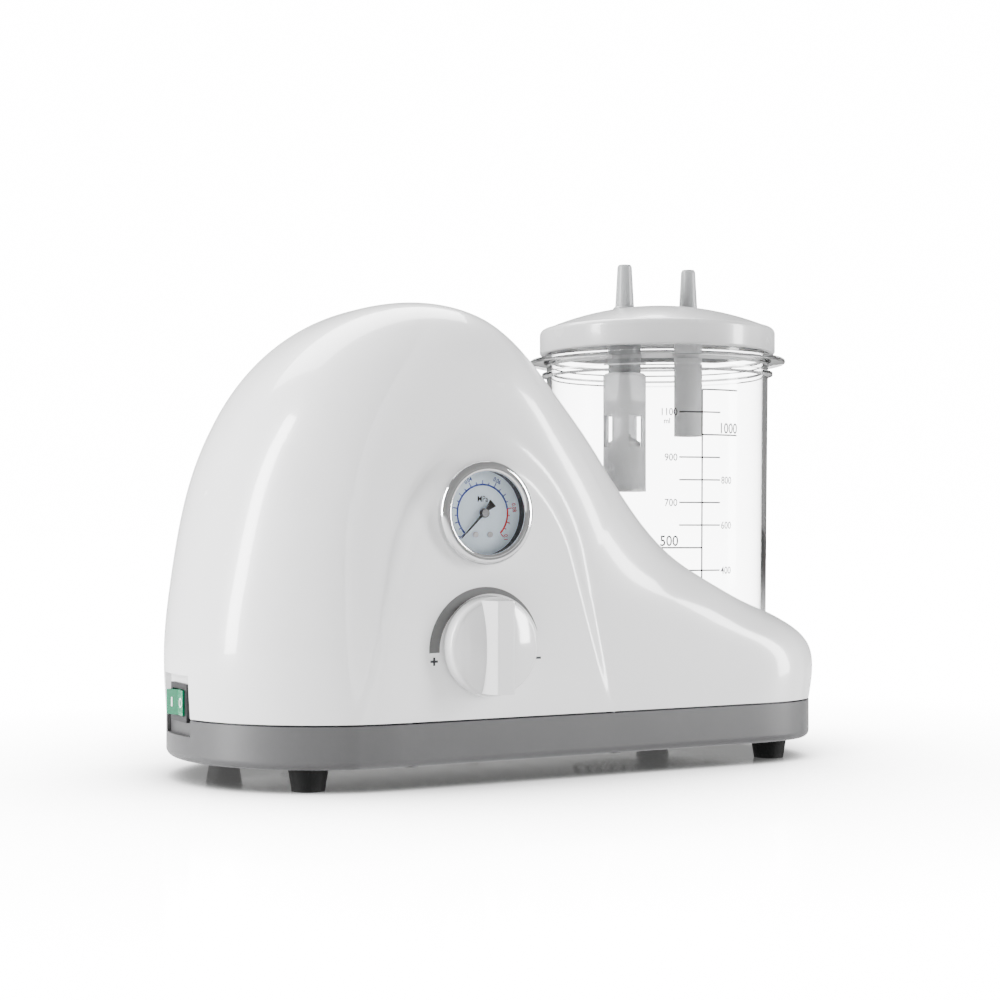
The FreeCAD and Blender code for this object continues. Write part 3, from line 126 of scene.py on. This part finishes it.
def floor_finish():
    """A polished floor that merges with the white behind the object; towards its foot a painted shadow dims
    its glow.
    """
    made = bpy.data.materials.new("floor_with_painted_shadow")
    made.use_nodes = True
    tree = made.node_tree
    tree.nodes.clear()

    def node(kind, **values):
        made_node = tree.nodes.new("ShaderNode" + kind)
        for name, value in values.items():
            made_node.inputs[name].default_value = value
        return made_node

    matt = node("BsdfDiffuse", Color=(FLOOR_LIGHT, FLOOR_LIGHT, FLOOR_LIGHT, 1))
    gloss = node("BsdfGlossy", Color=(FLOOR_SHINE, FLOOR_SHINE, FLOOR_SHINE, 1), Roughness=FLOOR_GLOSS)
    # Painted shadow: ambient occlusion dims the floor's glow near the object, standing in for its contact
    # shadow.
    near = node("AmbientOcclusion", Distance=PAINTED_SHADOW_REACH)
    deeper, shade, lift = node("Math"), node("Math"), node("Math")
    near.samples = 16
    deeper.operation, shade.operation, lift.operation = "POWER", "MULTIPLY", "ADD"
    deeper.inputs[1].default_value = PAINTED_SHADOW_POWER
    shade.inputs[1].default_value = WHITE
    lift.inputs[1].default_value = PAINTED_SHADOW_LEAST
    glow, both = node("Emission"), node("AddShader")
    tree.links.new(near.outputs["AO"], deeper.inputs[0])
    tree.links.new(deeper.outputs[0], shade.inputs[0])
    tree.links.new(shade.outputs[0], lift.inputs[0])
    tree.links.new(lift.outputs[0], glow.inputs["Strength"])
    tree.links.new(glow.outputs[0], both.inputs[0])
    tree.links.new(gloss.outputs[0], both.inputs[1])
    choice, out = node("MixShader"), node("OutputMaterial")
    tree.links.new(seen_directly(tree), choice.inputs[0])
    tree.links.new(matt.outputs[0], choice.inputs[1])
    tree.links.new(both.outputs[0], choice.inputs[2])
    tree.links.new(choice.outputs[0], out.inputs["Surface"])
    return made


def add_world():
    made = bpy.data.worlds.new("studio")
    SCENE.world = made
    made.use_nodes = True
    tree = made.node_tree
    tree.nodes.clear()
    around, behind = tree.nodes.new("ShaderNodeBackground"), tree.nodes.new("ShaderNodeBackground")
    behind.inputs["Strength"].default_value = WHITE
    mirrored = tree.nodes.new("ShaderNodeMath")
    mirrored.operation = "MULTIPLY_ADD"
    mirrored.inputs[1].default_value, mirrored.inputs[2].default_value = MIRRORED, AMBIENT
    tree.links.new(tree.nodes.new("ShaderNodeLightPath").outputs["Is Glossy Ray"], mirrored.inputs[0])
    tree.links.new(mirrored.outputs[0], around.inputs["Strength"])
    choice, out = tree.nodes.new("ShaderNodeMixShader"), tree.nodes.new("ShaderNodeOutputWorld")
    for node in (around, behind):
        node.inputs["Color"].default_value = (1, 1, 1, 1)
    tree.links.new(seen_directly(tree), choice.inputs[0])
    tree.links.new(around.outputs[0], choice.inputs[1])
    tree.links.new(behind.outputs[0], choice.inputs[2])
    tree.links.new(choice.outputs[0], out.inputs["Surface"])


# ---------------------------------------------------------------- materials

def material(name, colour, rough, metal=0.0, specular=0.5, coat=0.0, glass=0.0, ior=1.5, scatter=0.0,
             grain=0.0, grain_scale=2500, vary=0.0, scale=40, rough_vary=0.0, painted_glow=0.0):
    """A surface whose tone and roughness vary slightly, with a fine moulded or cast grain."""
    made = bpy.data.materials.new(name)
    made.use_nodes = True
    tree = made.node_tree
    shader = tree.nodes["Principled BSDF"]
    put = shader.inputs
    put["Base Color"].default_value = (*colour, 1)
    put["Roughness"].default_value = rough
    put["Metallic"].default_value = metal
    put["Specular IOR Level"].default_value = specular
    put["Coat Weight"].default_value = coat
    put["Coat Roughness"].default_value = 0.06
    put["Transmission Weight"].default_value = glass
    put["IOR"].default_value = ior
    # A glow in the surface's own colour: painted light, since the part is no lamp.
    if painted_glow:
        put["Emission Color"].default_value = (*colour, 1)
        put["Emission Strength"].default_value = painted_glow
    if scatter:
        put["Subsurface Weight"].default_value = scatter
        put["Subsurface Radius"].default_value = (0.004, 0.004, 0.004)
        put["Subsurface Scale"].default_value = 1.0
    spots = tree.nodes.new("ShaderNodeTexCoord").outputs["Object"]

    def noise(size, detail=4):
        node = tree.nodes.new("ShaderNodeTexNoise")
        node.inputs["Scale"].default_value = size
        node.inputs["Detail"].default_value = detail
        tree.links.new(spots, node.inputs["Vector"])
        return node.outputs["Fac"]

    if vary:
        ramp = tree.nodes.new("ShaderNodeValToRGB")
        ramp.color_ramp.elements[0].color = (*[max(c * (1 - vary), 0) for c in colour], 1)
        ramp.color_ramp.elements[1].color = (*[min(c * (1 + vary), 1) for c in colour], 1)
        ramp.color_ramp.elements[0].position, ramp.color_ramp.elements[1].position = 0.3, 0.7
        tree.links.new(noise(scale), ramp.inputs["Fac"])
        tree.links.new(ramp.outputs["Color"], put["Base Color"])
    if rough_vary:
        span = tree.nodes.new("ShaderNodeMapRange")
        span.inputs["To Min"].default_value = max(rough - rough_vary, 0.02)
        span.inputs["To Max"].default_value = rough + rough_vary
        tree.links.new(noise(scale * 3), span.inputs["Value"])
        tree.links.new(span.outputs["Result"], put["Roughness"])
    if grain:
        bump = tree.nodes.new("ShaderNodeBump")
        bump.inputs["Strength"].default_value = grain
        bump.inputs["Distance"].default_value = 0.00004
        tree.links.new(noise(grain_scale, 3), bump.inputs["Height"])
        tree.links.new(bump.outputs["Normal"], put["Normal"])
    return made


def finishes():
    """Every carried-over node's finish."""
    made = {
        "cover": material("cover_abs", (0.83, 0.83, 0.835), 0.26, coat=0.6, grain=0.05, vary=0.01,
                          rough_vary=0.03),
        "tray": material("tray_abs", (0.066, 0.066, 0.068), 0.4, grain=0.35, grain_scale=1800, vary=0.03,
                         rough_vary=0.05),
        "rubber": material("black_rubber", (0.004, 0.004, 0.004), 0.6, specular=0.15, grain=0.5,
                           vary=0.2, rough_vary=0.08),
        "zinc": material("zinc_steel", (0.6, 0.6, 0.62), 0.32, metal=1, grain=0.2, vary=0.06,
                         rough_vary=0.08),
        "jar": material("jar_clear", (0.99, 0.992, 0.995), 0.02, coat=0.5, glass=1.0, ior=1.12,
                        grain=0.02, grain_scale=60),
        "lid": material("lid_pp", (0.58, 0.58, 0.585), 0.26, coat=0.4, grain=0.15, vary=0.015,
                        rough_vary=0.04),
        "seal": material("seal_silicone", (0.75, 0.75, 0.74), 0.45, grain=0.1, vary=0.03, scatter=0.3),
        "nozzle": material("nozzle_frosted", (0.36, 0.37, 0.375), 0.32, glass=0.2, ior=1.45, grain=0.15,
                           vary=0.02, scatter=0.2),
        "tube": material("tube_white", (0.74, 0.745, 0.75), 0.4, grain=0.1, vary=0.02, scatter=0.2),
        "valve": material("valve_frosted", (0.96, 0.965, 0.97), 0.35, glass=0.25, ior=1.25, grain=0.1,
                          vary=0.02),
        "foam": material("float_foam", (0.93, 0.93, 0.92), 0.75, grain=0.6, grain_scale=900, vary=0.03),
        "gauge": material("gauge_black", (0.03, 0.03, 0.03), 0.4, grain=0.3, vary=0.1),
        "chrome": material("bezel_chrome", (0.88, 0.88, 0.89), 0.12, metal=1, grain=0.03, rough_vary=0.02),
        "lens": material("gauge_lens", (1, 1, 1), 0.01, glass=1.0, ior=1.15, grain=0.01, grain_scale=100),
        # The dial gets a faint glow of its own colour: painted light that makes the dial face look lighter.
        "dial": material("dial_face_with_painted_glow", (0.72, 0.83, 0.93), 0.5, painted_glow=0.14, grain=0.1, vary=0.02),
        "pointer": material("pointer_black", (0.012, 0.012, 0.013), 0.35, grain=0.1, vary=0.1),
        "brass": material("brass", (0.72, 0.53, 0.24), 0.3, metal=1, grain=0.2, vary=0.08, rough_vary=0.08),
        "knob": material("knob_abs", (0.72, 0.72, 0.725), 0.14, coat=0.8, grain=0.03, vary=0.01,
                         rough_vary=0.02),
        "steel": material("ground_steel", (0.56, 0.56, 0.58), 0.25, metal=1, grain=0.2, vary=0.05),
        "nylon": material("black_nylon", (0.008, 0.008, 0.009), 0.38, specular=0.3, grain=0.35,
                          vary=0.15, rough_vary=0.06),
        "green": material("rocker_green", (0.001, 0.1, 0.045), 0.2, coat=0.2, grain=0.05, vary=0.05,
                          scatter=0.2),
        "port": material("port_nylon", (0.78, 0.78, 0.77), 0.42, grain=0.2, vary=0.02),
        "iron": material("lamination", (0.2, 0.2, 0.21), 0.5, metal=0.8, grain=0.6, grain_scale=1200,
                         vary=0.15),
        "copper": material("copper_wire", (0.62, 0.24, 0.1), 0.3, metal=1, grain=0.8, grain_scale=1500,
                           vary=0.15),
        "cast": material("cast_alloy", (0.6, 0.61, 0.62), 0.48, metal=1, grain=0.7, grain_scale=900,
                         vary=0.08),
        "sheet": material("zinc_sheet", (0.55, 0.56, 0.58), 0.38, metal=1, grain=0.3, vary=0.12, scale=60),
    }
    wanted = {
        "cover": "cover_shell", "tray": "base_tray", "rubber": "rubber_feet jar_pad rubber_mounts mains_wire",
        "zinc": "cover_screws foot_screws head_screws gauge_dial_screws", "jar": "jar", "lid": "jar_lid",
        "seal": "lid_seal piston_cup vacuum_hose exhaust_hose gauge_hose",
        "nozzle": "suction_nozzle vacuum_nozzle", "tube": "inlet_tube",
        "valve": "float_valve_collar float_cage",
        "foam": "float", "gauge": "gauge_case gauge_movement_plate", "chrome": "gauge_bezel",
        "lens": "gauge_lens", "dial": "gauge_dial", "pointer": "gauge_pointer",
        "brass": "gauge_sector bourdon_tube valve_body valve_needle", "knob": "regulator_knob",
        "steel": "valve_stem motor_shaft motor_bearings rod_bearing reed_valves crank",
        "nylon": "switch_frame mains_inlet fuse_holder cooling_fan exhaust_muffler", "green": "rocker",
        "port": "vacuum_port port_nut", "iron": "motor_stator motor_rotor", "copper": "stator_windings",
        "cast": "rear_end_cap front_end_cap crankcase cylinder_head valve_plate piston_rod pump_cylinder "
                "motor_capacitor",
        "sheet": "pump_bracket",
    }
    for finish, names in wanted.items():
        for name in names.split():
            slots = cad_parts[name].data.materials
            if not len(slots):
                slots.append(made[finish])
            for i in range(len(slots)):
                slots[i] = made[finish]
    return made


# ---------------------------------------------------------------- cover

# The casing's outline from the front, and the rounded band between its face and that outline:
# the same numbers as the CAD cover, sampled closely enough to look smooth. The curve through them
# is a natural spline, whose right end comes 1.6 mm short of the CAD's.
RIDGE = [(1.0, 0.0), (1.006, 0.14), (0.835, 0.24), (0.644, 0.33), (0.469, 0.414), (0.337, 0.535),
         (0.204, 0.682), (0.05, 0.826), (-0.156, 0.972), (-0.403, 0.992), (-0.7, 0.863),
         (-0.9, 0.605), (-0.977, 0.34), (-1.004, 0.153), (-1.0, 0.0)]
BAND_ANGLES = [0, 30, 60, 90, 130, 180]
BAND_DEPTH = [0.773, 0.8, 0.88, 0.827, 0.907, 1.0]
BAND_SQUARE = [3.0, 3.0, 2.8, 3.2, 2.3, 2.0]
HUB_X, LOW, RISE, HALF, WIDE = -25, 29.5, 189.5, 160, 75
FRONT_LEAN, BOSS_LEAN = math.tan(math.radians(2.6)), math.tan(math.radians(3.2))
JAR_X, WELL, WELL_FLOOR = 97, 59.5, 42
SKIN, OPEN_TOP, INSIDE_FRONT, OUTSIDE_FRONT = 2.5, 240, -55, -95
GAUGE_X, GAUGE_Z, GAUGE_HOLE = -44.5, 120, 20
KNOB_X, KNOB_Z, KNOB_HOLE = -42.5, 61.5, 5.3
# Boxes given as x, y and z from and to: the walls left round the switch and the recess behind,
# the switch's openings, and the recess.
SWITCH_WALL, SWITCH_HOLE = (-170, -154, -18, 18, 20, 51), (-157.5, -144.5, -9, 9, 28.8, 42.8)
SWITCH_RECESS = (-176, -156.5, -15.5, 15.5, 21.5, 48.5)
BACK_WALL, BACK_RECESS = (-94.5, 30.5, 68, 90, 33.5, 70.5), (-92, 28, 70.5, 100, 36, 68)


def spline(points, count):
    """A natural cubic spline through the points, by chord length."""
    points = np.array(points, float)
    at = np.concatenate([[0], np.cumsum(np.linalg.norm(np.diff(points, axis=0), axis=1))])
    gap = np.diff(at)
    size = len(at)
    grid, side = np.zeros((size, size)), np.zeros((size, 2))
    grid[0, 0] = grid[-1, -1] = 1
    for i in range(1, size - 1):
        grid[i, i - 1:i + 2] = gap[i - 1], 2 * (gap[i - 1] + gap[i]), gap[i]
        side[i] = 6 * ((points[i + 1] - points[i]) / gap[i] - (points[i] - points[i - 1]) / gap[i - 1])
    bend = np.linalg.solve(grid, side)
    out = []
    for t in np.linspace(0, at[-1], count):
        i = min(np.searchsorted(at, t, side="right") - 1, size - 2)
        a, b, h = at[i + 1] - t, t - at[i], gap[i]
        out.append((bend[i] * a ** 3 + bend[i + 1] * b ** 3) / (6 * h)
                   + (points[i] / h - bend[i] * h / 6) * a + (points[i + 1] / h - bend[i + 1] * h / 6) * b)
    return np.array(out)


def boss_rise(x, z):
    up = z - LOW
    wide = 64 - 0.19 * up
    past = np.maximum(z - 100, 0) / 60
    inside = (1 - np.hypot((x + 40) / wide, past)) * wide
    share = np.clip(inside / (3 + 0.12 * up), 0, 1)
    return up * BOSS_LEAN * share * share * (3 - 2 * share)


def dome(name, inset, ridge_steps, face_steps, band_steps, foot=LOW):
    """The casing as a closed solid, its skin moved in by inset; its flat foot is at height foot."""
    rows = []
    for px, pz in spline([(HALF * x, LOW + RISE * z) for x, z in RIDGE], ridge_steps + 1):
        reach = math.hypot(px - HUB_X, pz - LOW)
        along, up = (px - HUB_X) / reach, max(pz - LOW, 0) / reach
        angle = math.degrees(math.atan2(up, along))
        depth = np.interp(angle, BAND_ANGLES, BAND_DEPTH) * WIDE
        square = np.interp(angle, BAND_ANGLES, BAND_SQUARE)
        flat = np.linspace(0, reach - depth, face_steps + 1)
        turn = np.linspace(0, math.pi / 2, band_steps + 1)[1:]
        size = (np.sin(turn) ** square + np.abs(np.cos(turn)) ** square) ** (-1 / square)
        out = np.concatenate([flat, reach - depth + (depth - inset) * size * np.sin(turn)])
        over = np.concatenate([np.ones(face_steps + 1), size * np.cos(turn)])
        over[-1] = 0
        x, z = HUB_X + out * along, LOW + out * up
        y = (WIDE - inset - (z - LOW) * FRONT_LEAN) * over
        front = np.stack([x, np.where(over > 0, -y - boss_rise(x, z), 0), z], 1)
        rows.append(np.concatenate([front, np.stack([x, y, z], 1)[-2::-1]]))
    rows[0][:, 2] = rows[-1][:, 2] = foot
    across = len(rows[0])
    verts = [tuple(p) for row in rows for p in row]
    faces = [(i * across + j, (i + 1) * across + j, (i + 1) * across + j + 1, i * across + j + 1)
             for i in range(len(rows) - 1) for j in range(across - 1)]
    last = (len(rows) - 1) * across
    faces.append(tuple(range(across)) + tuple(range(last + across - 2, last, -1)))
    return solid(name, verts, faces)


def solid(name, verts, faces):
    """A closed mesh from points in mm about the mid-plane."""
    mesh = bpy.data.meshes.new(name)
    mesh.from_pydata(verts, [], faces)
    work = bmesh.new()
    work.from_mesh(mesh)
    bmesh.ops.remove_doubles(work, verts=work.verts, dist=1e-4)
    bmesh.ops.dissolve_degenerate(work, edges=work.edges, dist=1e-5)
    bmesh.ops.recalc_face_normals(work, faces=work.faces)
    work.to_mesh(mesh)
    work.free()
    return mesh


def block(x0, x1, y0, y1, z0, z1):
    verts = [(x, y, z) for x in (x0, x1) for y in (y0, y1) for z in (z0, z1)]
    faces = [(0, 1, 3, 2), (4, 6, 7, 5), (0, 4, 5, 1), (2, 3, 7, 6), (0, 2, 6, 4), (1, 5, 7, 3)]
    return solid("block", verts, faces)


def rod(radius, start, end, steps=96):
    """A cylinder from start to end."""
    start, end = Vector(start), Vector(end)
    turn = (end - start).to_track_quat("Z", "Y")
    verts = []
    for middle in (start, end):
        for k in range(steps):
            a = 2 * math.pi * k / steps
            verts.append(tuple(middle + turn @ Vector((radius * math.cos(a), radius * math.sin(a), 0))))
    faces = [(k, (k + 1) % steps, steps + (k + 1) % steps, steps + k) for k in range(steps)]
    faces += [tuple(range(steps))[::-1], tuple(range(steps, 2 * steps))]
    return solid("rod", verts, faces)


def boolean(base, tools, how):
    """The base mesh joined with, or cut by, the tools one after another."""
    for tool in tools:
        holder, cutter = new_object("base", base), new_object("tool", tool)
        change = holder.modifiers.new("change", "BOOLEAN")
        change.operation, change.solver, change.object = how, "EXACT", cutter
        bpy.context.view_layer.update()
        done = bpy.data.meshes.new_from_object(holder.evaluated_get(bpy.context.evaluated_depsgraph_get()))
        bpy.data.objects.remove(holder)
        bpy.data.objects.remove(cutter)
        base = done
    return base


def joined(meshes):
    work = bmesh.new()
    for mesh in meshes:
        work.from_mesh(mesh)
    made = bpy.data.meshes.new("joined")
    work.to_mesh(made)
    work.free()
    return made


def finish_mesh(name, mesh, finish, body, sharp=32, replaces=()):
    """Puts a mesh drawn in mm about the mid-plane into the frame, on its body."""
    mesh.transform(Matrix.Translation((0, MID * MM, 0)) @ Matrix.Scale(MM, 4))
    mesh.name = name
    mesh.materials.clear()
    mesh.materials.append(finish)
    for face in mesh.polygons:
        face.use_smooth = True
        face.material_index = 0
    made = new_object(name, mesh)
    mesh.set_sharp_from_angle(angle=math.radians(sharp))
    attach(made, body)
    if replaces:
        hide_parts(*replaces)


def make_cover(finish):
    """The dome, hollowed, with the jar's well, the back recess and the openings in front and at the left.

    The CAD cover's holes for the mains inlet, fuse holder and spigot, and its screw columns, aren't made.
    """
    void = dome("void", SKIN, 60, 14, 12, foot=LOW - 1)
    void = boolean(void, [rod(WELL + 2, (JAR_X, 0, WELL_FLOOR - 2), (JAR_X, 0, OPEN_TOP)),
                          block(*SWITCH_WALL), block(*BACK_WALL)], "DIFFERENCE")
    gauge = rod(GAUGE_HOLE, (GAUGE_X, OUTSIDE_FRONT, GAUGE_Z), (GAUGE_X, INSIDE_FRONT, GAUGE_Z))
    knob = rod(KNOB_HOLE, (KNOB_X, OUTSIDE_FRONT, KNOB_Z), (KNOB_X, INSIDE_FRONT, KNOB_Z), 48)
    void = boolean(void, [block(*SWITCH_HOLE), gauge, knob, block(*SWITCH_RECESS)], "UNION")
    well = rod(WELL, (JAR_X, 0, WELL_FLOOR), (JAR_X, 0, OPEN_TOP), 192)
    steps = ((360, 72, 40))
    cover = boolean(dome("cover", 0, *steps), [joined([void, well, block(*BACK_RECESS)])], "DIFFERENCE")
    finish_mesh("cover", cover, finish, "casing", 30, ("cover_shell",))


# ---------------------------------------------------------------- prints

def strip(inner, outer, low=0.02, high=0.08):
    """A thin band between two lines of points in (u, v)."""
    count = len(inner)
    verts = [(u, v, w) for w in (low, high) for line in (inner, outer) for u, v in line]
    faces = []
    for k in range(count - 1):
        faces += [(k, count + k, count + k + 1, k + 1),
                  (2 * count + k, 2 * count + k + 1, 3 * count + k + 1, 3 * count + k),
                  (k, k + 1, 2 * count + k + 1, 2 * count + k),
                  (count + k, 3 * count + k, 3 * count + k + 1, count + k + 1)]
    faces += [(0, 2 * count, 3 * count, count), (count - 1, 2 * count - 1, 4 * count - 1, 3 * count - 1)]
    return verts, faces


def bar(u0, v0, u1, v1, wide):
    """A straight printed line, divided so that it can follow a curved wall."""
    a, b = np.array((u0, v0)), np.array((u1, v1))
    side = np.array((a[1] - b[1], b[0] - a[0])) / np.linalg.norm(b - a) * wide / 2
    line = [a + (b - a) * t for t in np.linspace(0, 1, max(2, int(np.linalg.norm(b - a) / 1.5)))]
    return strip([tuple(p - side) for p in line], [tuple(p + side) for p in line])


def arc(radius, wide, start, end, taper=None):
    """A printed arc; angles in degrees clockwise from the top. taper gives its share of the width."""
    inner, outer = [], []
    for turn in np.linspace(start, end, 64):
        share = taper(turn) if taper else 1.0
        across, up = math.sin(math.radians(turn)), math.cos(math.radians(turn))
        inner.append(((radius - wide * share) * across, (radius - wide * share) * up))
        outer.append((radius * across, radius * up))
    return strip(inner, outer)


def words(text, high, u=0.0, v=0.0, turn=0.0, align="CENTER", bold=0.0, squeeze=0.85):
    """Lettering high mm tall with its foot at v."""
    curve = bpy.data.curves.new("words", "FONT")
    curve.body, curve.size, curve.align_x = text, high / 0.7, align
    curve.extrude, curve.offset, curve.resolution_u = 0.03, bold, 3
    holder = new_object("words", curve)
    mesh = bpy.data.meshes.new_from_object(holder)
    bpy.data.objects.remove(holder)
    c, s = math.cos(math.radians(turn)), math.sin(math.radians(turn))
    verts = []
    for p in mesh.vertices:
        a, b = p.co.x * squeeze, p.co.y
        verts.append((u + a * c + b * s, v - a * s + b * c, p.co.z + 0.05))
    return verts, [tuple(face.vertices) for face in mesh.polygons]


def printed(name, bits, where, finish, body):
    """Prints as one thin mesh, each point set by where(u, v, w)."""
    verts, faces = [], []
    for points, sides in bits:
        start = len(verts)
        verts += [where(*p) for p in points]
        faces += [tuple(start + k for k in side) for side in sides]
    mesh = bpy.data.meshes.new(name)
    mesh.from_pydata(verts, [], faces)
    mesh.validate()
    finish_mesh(name, mesh, finish, body)


def boss_y(z):
    return -WIDE - (z - LOW) * (BOSS_LEAN - FRONT_LEAN)


def add_dial(inks):
    def where(u, v, w):
        return GAUGE_X + u, boss_y(GAUGE_Z) + 1.5 - w, GAUGE_Z + v

    radius, wide, tick, label_out = 12.9, 0.75, 0.4, 15.1
    start, middle, end = -135, 81, 135
    blue, red = [arc(radius, wide, start, middle)], [arc(radius, wide, middle, end)]
    for k in range(21):
        turn = start + 13.5 * k
        long = 1.9 if k % 4 == 0 else 1.5 if k % 2 == 0 else 0.9
        across, up = math.sin(math.radians(turn)), math.cos(math.radians(turn))
        bit = bar(radius * across, radius * up, (radius + long) * across, (radius + long) * up, tick)
        (red if turn > 80 else blue).append(bit)
    for k, label in enumerate(("0", "0.02", "0.04", "0.06", "0.08", "0.1")):
        turn = start + 54 * k
        across, up = math.sin(math.radians(turn)), math.cos(math.radians(turn))
        last = k in (0, 5)
        out = label_out + 0.1 if last else label_out
        tilt = turn - math.copysign(45, turn) if last else turn
        bit = words(label, 1.9, out * across, out * up, tilt, squeeze=0.85, bold=0.02)
        (red if k > 3 else blue).append(bit)
    ink = [words("MPa", 2.6, 0, 5.0, bold=0.02)]
    printed("dial_scale_blue", blue, where, inks["blue"], "casing")
    printed("dial_scale_red", red, where, inks["red"], "casing")
    printed("dial_unit", ink, where, inks["dark"], "casing")


def add_pointer_hub(finish):
    """The bright cap on the pointer's arbor."""
    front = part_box("gauge_pointer")[0][1] / MM - MID
    cap = rod(1.7, (GAUGE_X, front + 0.1, GAUGE_Z), (GAUGE_X, front - 0.25, GAUGE_Z), 48)
    finish_mesh("pointer_hub", cap, finish, "pointer")


def add_panel_prints(inks):
    def where(u, v, w):
        z = 60 + v
        return -43.6 + u, boss_y(z) - w, z

    def taper(turn):
        return 1.0 if turn < -45 else max(0.02, 1 - (turn + 45) / 120)

    printed("flow_arc", [arc(27.5, 5, -92, 74, taper)], where, inks["grey"], "casing")
    signs = [bar(-26.9, -4.6, -23.3, -4.6, 1.0), bar(-25.1, -6.4, -25.1, -2.8, 1.0),
             bar(25.2, -4.6, 28.4, -4.6, 1.0)]
    printed("flow_signs", signs, where, inks["dark"], "casing")


def add_jar_scale(inks):
    line_turn = -100.7

    def where(u, v, w):
        radius = 55.2 + 1.3 * (v - 49) / 141 + 0.02 + w
        a = math.radians(line_turn) + u / 56
        return JAR_X + radius * math.cos(a), radius * math.sin(a), v

    def level(ml):
        return 158.7 - (1000 - ml) * 0.1095

    thick, thin, long = 0.8, 0.75, 20.4
    bits = [bar(0, level(60), 0, level(1200), thick), bar(0, level(1200), long, level(1200), thick)]
    for ml in range(100, 1200, 100):
        z = level(ml)
        if ml == 1000:
            bits += [bar(0, z, long, z, thick),
                     words("1000", 5.0, 20.6, z + 0.9, align="RIGHT", bold=0.12, squeeze=0.8)]
        elif ml == 500:
            bits += [bar(-21, z, 0, z, thick), words("500", 5.0, -21, z + 0.9, align="LEFT", bold=0.12)]
        else:
            bits.append(bar(-11.6, z, 10, z, thin))
            u, align = (-12.4, "RIGHT") if (ml // 100) % 2 else (10.6, "LEFT")
            bits.append(words(str(ml), 3.5, u, z - 1.75, align=align, bold=0.06, squeeze=0.85))
    bits.append(words("ml", 2.5, -17.5, level(1100) - 5.6, align="CENTER", bold=0.08, squeeze=0.9))
    printed("jar_scale", bits, where, inks["ink"], "jar")


def add_rocker_marks(inks):
    turn = math.radians(100)
    along, out = (math.cos(turn), math.sin(turn)), (-math.sin(turn), math.cos(turn))

    def where(u, v, w):
        rise = 1.6 + 0.25 * abs(u) + w
        return (-157.1 + u * along[0] + rise * out[0], u * along[1] + rise * out[1], 35.8 + v)

    ring = arc(2.2, 0.7, 0, 360)
    ring = ([(u - 3.9, v, w) for u, v, w in ring[0]], ring[1])
    marks = [bar(3.9, -2.1, 3.9, 2.1, 0.75), ring]
    printed("rocker_marks", marks, where, inks["white"], "rocker")


# ---------------------------------------------------------------- the whole

add_camera()
add_stage()
FINISH = finishes()
INKS = {
    "blue": material("ink_blue", (0.02, 0.05, 0.28), 0.5, vary=0.05),
    "red": material("ink_red", (0.55, 0.03, 0.04), 0.5, vary=0.05),
    "dark": material("ink_dark", (0.02, 0.02, 0.022), 0.5, vary=0.05),
    "grey": material("ink_grey", (0.1, 0.1, 0.1), 0.4, vary=0.02),
    "ink": material("ink_jar", (0.02, 0.02, 0.02), 0.5, vary=0.05),
    "white": material("ink_white", (0.85, 0.85, 0.85), 0.4, vary=0.02),
}
make_cover(FINISH["cover"])
add_dial(INKS)
add_pointer_hub(FINISH["steel"])
add_panel_prints(INKS)
add_jar_scale(INKS)
add_rocker_marks(INKS)

add_world()
for light in LIGHTS:
    add_light(*light)
